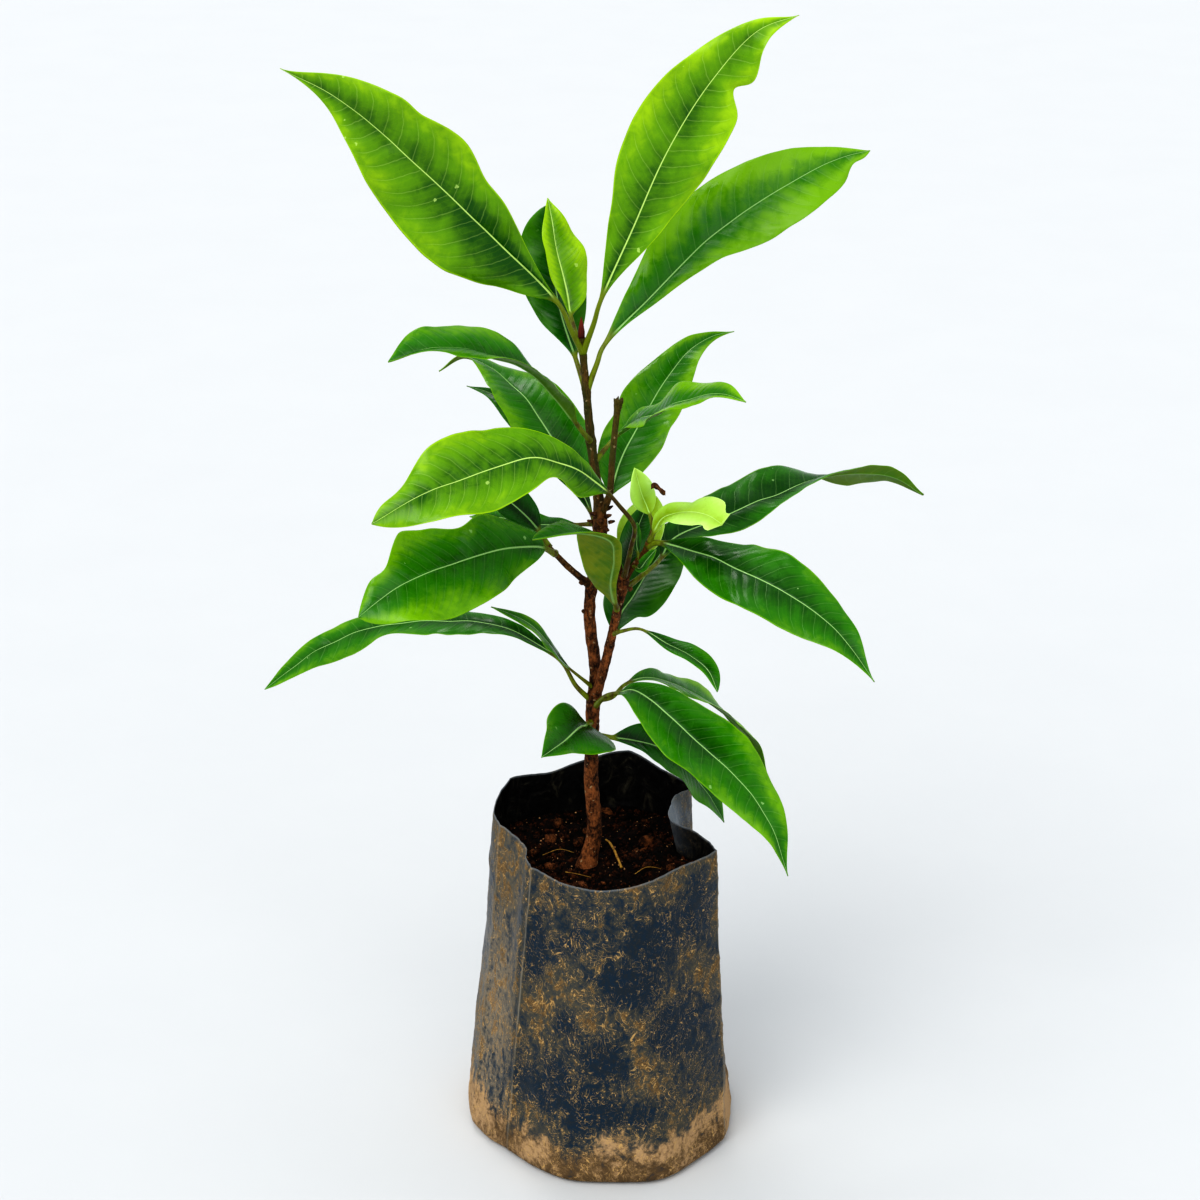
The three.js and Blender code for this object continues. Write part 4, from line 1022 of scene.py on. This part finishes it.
def wall(share):
    """Points of the bag's smooth wall, row by row: the foot's line drawn up into the rim's, and
    the level directions that point out of it."""
    rows = FOOT_LINE[None] * (1 - share[:, None, None]) + RIM_LINE[None] * share[:, None, None]
    run = np.roll(rows, -1, axis=1) - np.roll(rows, 1, axis=1)
    return rows, unit(stacked(run[..., 1], -run[..., 0], 0))


def film_relief(share):
    """How far the film stands out of the smooth wall, in millimetres: broad folds and crumpled
    ridges from lattice noise, (1 - |noise|)^3, and the sharp creases, h*exp(-|distance|/width).
    The second value is how near each point is to a crease's line."""
    lap = (BAG_PLACES / BAG_CORNERS)[None, :]
    t = share[:, None]
    folds, ridges, small, grain = (
        lattice_noise(seed, around)(lap * around + slant * t, above * t)
        for seed, around, slant, above in FILM_NOISES
    )
    fold_height, ridge_height, small_height, grain_height = FILM_HEIGHTS
    crumple = ridge_height * (1 - np.abs(ridges)) ** 3 + small_height * (1 - np.abs(small)) ** 3
    crumple = crumple + grain_height * grain
    creases, line = 0, 0
    half_lap = BAG_CORNERS / 2
    for at_foot, at_rim, height, width in BAG_CREASES:
        corner = at_foot * (1 - t) + at_rim * t
        away = np.abs(np.mod(BAG_PLACES[None, :] - corner + half_lap, BAG_CORNERS) - half_lap)
        creases = creases + height * np.exp(-away / width)
        line = np.maximum(line, height * bump(away, 0, 0.6 * width))
    calm = smoothstep(0, 0.06, t)
    stand = fold_height * folds * calm + crumple * (0.4 + 0.6 * calm) + creases * (0.3 + 0.7 * calm)
    return stand, line


def bag_shape():
    """The bag as one closed skin: from the middle of its underside out and up its wall to the rim,
    then down its inside to its floor. The foot is rounded by a quarter circle, and the inner wall
    falls away from the outer one below the soil. Its marks are the creases, the height and the
    inside (darkened by painted shade), and then the greyed sides (partly dust, partly a painted
    highlight), the clean patches and the see-through fold (painted lighter, as light through it)."""
    base = np.array([0, 0.35, 1.2, 2.4])
    turned_in = FOOT_ROUND * (1 - np.sqrt(1 - (1 - base / FOOT_ROUND) ** 2))
    up = np.linspace(FOOT_ROUND / SOIL_TOP, 1, BAG_RINGS[0])
    seen = np.linspace(1, BAG_SEEN, BAG_RINGS[1])
    buried = np.array([0.8, 0.6, 0.4, 0.2, 0.05])
    share = np.concatenate([base / SOIL_TOP, up, seen, buried])
    inset = np.concatenate([turned_in, 0 * up, 0 * seen + FILM, 0 * buried + BURIED_INSET])
    rows, out = wall(share)
    relief, line = film_relief(share)
    rows = rows + out * (relief - inset[:, None])[..., None]
    rows[: len(base), :, 2] = base[:, None]

    t = share[:, None]
    inside = np.arange(len(share))[:, None] >= len(base) + len(up)
    clean = sum(bump(BAG_PLACES, corner, reach) * bump(t, height, tall)
                for corner, height, reach, tall in CLEAN_PATCHES)
    clear_fold_light = bump(BAG_PLACES, *CLEAR_CORNER) * smoothstep(0.86, 0.93, t)
    dust_and_highlight = sum(strength * bump(BAG_PLACES, corner, reach) for corner, reach, strength in GREYED_SIDES)
    marks = {"film": stacked(line, t, inside), "wear_and_light": stacked(dust_and_highlight, np.minimum(clean, 1), clear_fold_light)}
    return loft(rows * MM, marks)


def soil_height(x, y, share):
    """The soil's surface: level at the trunk, sinking with the cube of the way out, with broad
    lumps sin*cos and crumbs of lattice noise on two scales, and a low heap round the trunk."""
    away = np.hypot(x - TRUNK_FOOT[0], y - TRUNK_FOOT[1])
    lumps = np.sin(x * 0.31 + 1) * np.cos(y * 0.27 - 0.6)
    broad = SOIL_LUMP * lumps * np.clip((away - SOIL_FLAT) / SOIL_FLAT, 0, 1)
    crumbs = sum(height * lattice_noise(31 + number)(x / length, y / length)
                 for number, (height, length) in enumerate(SOIL_CLODS))
    calm = 1 - 0.75 * smoothstep(0.8, 1, share)
    heap = SOIL_HEAP[0] * bump(away, 0, SOIL_HEAP[1])
    return SOIL_TOP - SOIL_DIP * share**3 + heap + (broad + crumbs) * calm


def soil_edge(inset):
    """The bag's inner line where the soil meets it, drawn in by an inset."""
    ring = np.array([SOIL_EDGE])
    rows, out = wall(ring)
    relief, _ = film_relief(ring)
    return (rows + out * (relief - inset)[..., None])[0, :, :2]


def soil_shape():
    """The soil's visible top as a closed slab: rings from the trunk out to the film, then down."""
    share = np.linspace(0.03, 1, SOIL_RINGS)[:, None]
    x, y = (TRUNK_FOOT + (soil_edge(SOIL_INSET) - TRUNK_FOOT) * share[..., None]).transpose(2, 0, 1)
    top = stacked(x, y, soil_height(x, y, share))[::-1]
    skirt = top[0] * np.array([0.97, 0.97, 0]) + np.array([0, 0, SOIL_TOP - SOIL_SKIRT])
    return loft(np.concatenate([skirt[None], top]) * MM, {})


def crumb_shapes(count, sizes, seed, spread):
    """Crumbs strewn on the soil, joined: each a ball of five rings of seven points, stretched three
    ways, knobbled by random radii, turned at random and half sunk in the surface."""
    random = np.random.default_rng(seed)
    polar = np.linspace(0.25, np.pi - 0.25, 5)[:, None]
    turn = turns(7)
    ball = stacked(np.sin(polar) * np.cos(turn), np.sin(polar) * np.sin(turn), np.cos(polar))[::-1]
    own, own_faces, _ = loft(ball, {})
    size = sizes[0] + (sizes[1] - sizes[0]) * random.uniform(0, 1, (count, 1, 1)) ** 2
    stretch = random.uniform(0.5, 1.1, (count, 1, 3))
    knobs = random.uniform(0.7, 1.25, (count, len(own), 1))
    body = own[None] * stretch * knobs * size / 2
    axes = unit(random.normal(size=(count, 3)))
    helper = unit(np.cross(axes, random.normal(size=(count, 3))))
    body = np.einsum("nvi,nij->nvj", body, np.stack([axes, helper, np.cross(axes, helper)], axis=1))
    share = spread[0] + (spread[1] - spread[0]) * np.sqrt(random.uniform(0, 1, count))
    edge = soil_edge(SOIL_INSET + sizes[1] / 2)[random.integers(0, len(BAG_PLACES), count)]
    x, y = (TRUNK_FOOT + (edge - TRUNK_FOOT) * share[:, None]).T
    z = soil_height(x, y, share) + 0.12 * size[:, 0, 0]
    body = body + stacked(x, y, z)[:, None]
    start = np.arange(count)[:, None, None] * len(own)
    fans = 2 * len(turn)
    faces = (np.array(own_faces[:-fans]) + start).reshape(-1, 4).tolist()
    faces += (np.array(own_faces[-fans:]) + start).reshape(-1, 3).tolist()
    return body.reshape(-1, 3) * MM, faces, {}


def thread_shape(points, radii, seed):
    """A thin root or twig: circles along a route, between two radii, a little uneven."""
    path = Route(points)
    distance = np.linspace(0, path.length, 40)
    centre, along = path.read(distance)
    across = unit(np.cross(along, (0.1, 0.2, 1.0)))
    turn = turns(8)
    share = (distance / path.length)[:, None]
    uneven = 1 + 0.3 * lattice_noise(seed, 8)(turn * 8 / (2 * np.pi), share * 14)
    radius = (radii[0] * (1 - share) + radii[1] * share) * uneven * MM
    return loft(circles(centre, along, across, turn, radius), {})


def make_bag():
    make_piece("bag_film", bag_shape(), film_material(), ["nursery_bag"])


def make_soil():
    soil = soil_material(
        "potting_soil", (0.001, 0.0006, 0.0005), (0.022, 0.007, 0.0025), (0.22, 0.1, 0.045))
    crumb = soil_material(
        "soil_crumb", (0.004, 0.0016, 0.0008), (0.11, 0.034, 0.011), (0.4, 0.22, 0.1))
    clod = soil_material(
        "soil_clod", (0.014, 0.005, 0.002), (0.24, 0.085, 0.028), (0.5, 0.3, 0.14))
    pale = plain_material("pale_grain", (0.25, 0.1, 0.04), (0.55, 0.32, 0.15), 900, 0.8)
    root = plain_material("dry_root", (0.2, 0.1, 0.015), (0.42, 0.24, 0.04), 700, 0.6)
    make_piece("soil_top", soil_shape(), soil, ["soil"])
    make_piece("soil_crumbs", crumb_shapes(2400, (0.4, 2.6), 41, (0.1, 1)), crumb)
    make_piece("soil_clods", crumb_shapes(46, (2.6, 6.0), 42, (0.25, 0.95)), clod)
    make_piece("soil_grains", crumb_shapes(300, (0.3, 1.1), 43, (0.12, 1)), pale)
    threads = [thread_shape(*thread, 51 + number) for number, thread in enumerate(ROOTS)]
    make_piece("soil_roots", join(threads), root)


def make_details():
    scale = plain_material("dry_scale", (0.03, 0.012, 0.004), (0.15, 0.06, 0.02), 900, 0.75)
    bud = plain_material("red_bud", (0.06, 0.008, 0.004), (0.16, 0.02, 0.008), 500, 0.45)
    make_piece("bark_scales", peg_shapes(61), scale)
    make_piece("bud_scales", bud_shape(), bud, ["terminal_bud"])
    make_piece("dry_scrap", scrap_shape(), scale)


# Studio

def make_floor():
    """A level pale floor, far wider than the view."""
    mesh = bpy.data.meshes.new("floor")
    corners = [(-1, -1), (1, -1), (1, 1), (-1, 1)]
    corners = [(x * FLOOR_REACH, y * FLOOR_REACH, -FLOOR_GAP) for x, y in corners]
    mesh.from_pydata(corners, [], [(0, 1, 2, 3)])
    material, w = new_material("pale_floor")
    w.surface(w.mix(w.noise(w.place(), 14, 6, 0.6), *FLOOR_TONES), 0.8)
    mesh.materials.append(material)
    add_object("floor", mesh)


def make_studio():
    scene = bpy.context.scene
    scene.world = bpy.data.worlds.new("studio")
    scene.world.use_nodes = True
    sky = scene.world.node_tree.nodes["Background"].inputs
    sky["Color"].default_value = SKY
    sky["Strength"].default_value = SKY_STRENGTH
    scene.view_settings.view_transform = "Standard"
    scene.view_settings.look = "High Contrast"
    for name, (turned, strength, width, colour) in LIGHTS.items():
        lamp = bpy.data.lights.new(name, "SUN")
        lamp.energy = strength
        lamp.angle = math.radians(width)
        lamp.color = colour
        add_object(name, lamp).rotation_euler = [math.radians(angle) for angle in turned]


def make_camera():
    data = bpy.data.cameras.new("camera")
    data.lens = CAMERA_LENS
    camera = add_object("camera", data)
    camera.location = CAMERA_PLACE
    camera.rotation_euler = (math.pi / 2 - CAMERA_PITCH, 0, 0)
    bpy.context.scene.camera = camera


make_camera()
make_studio()
make_floor()
make_bag()
make_soil()
make_stems()
make_details()
make_leaves()
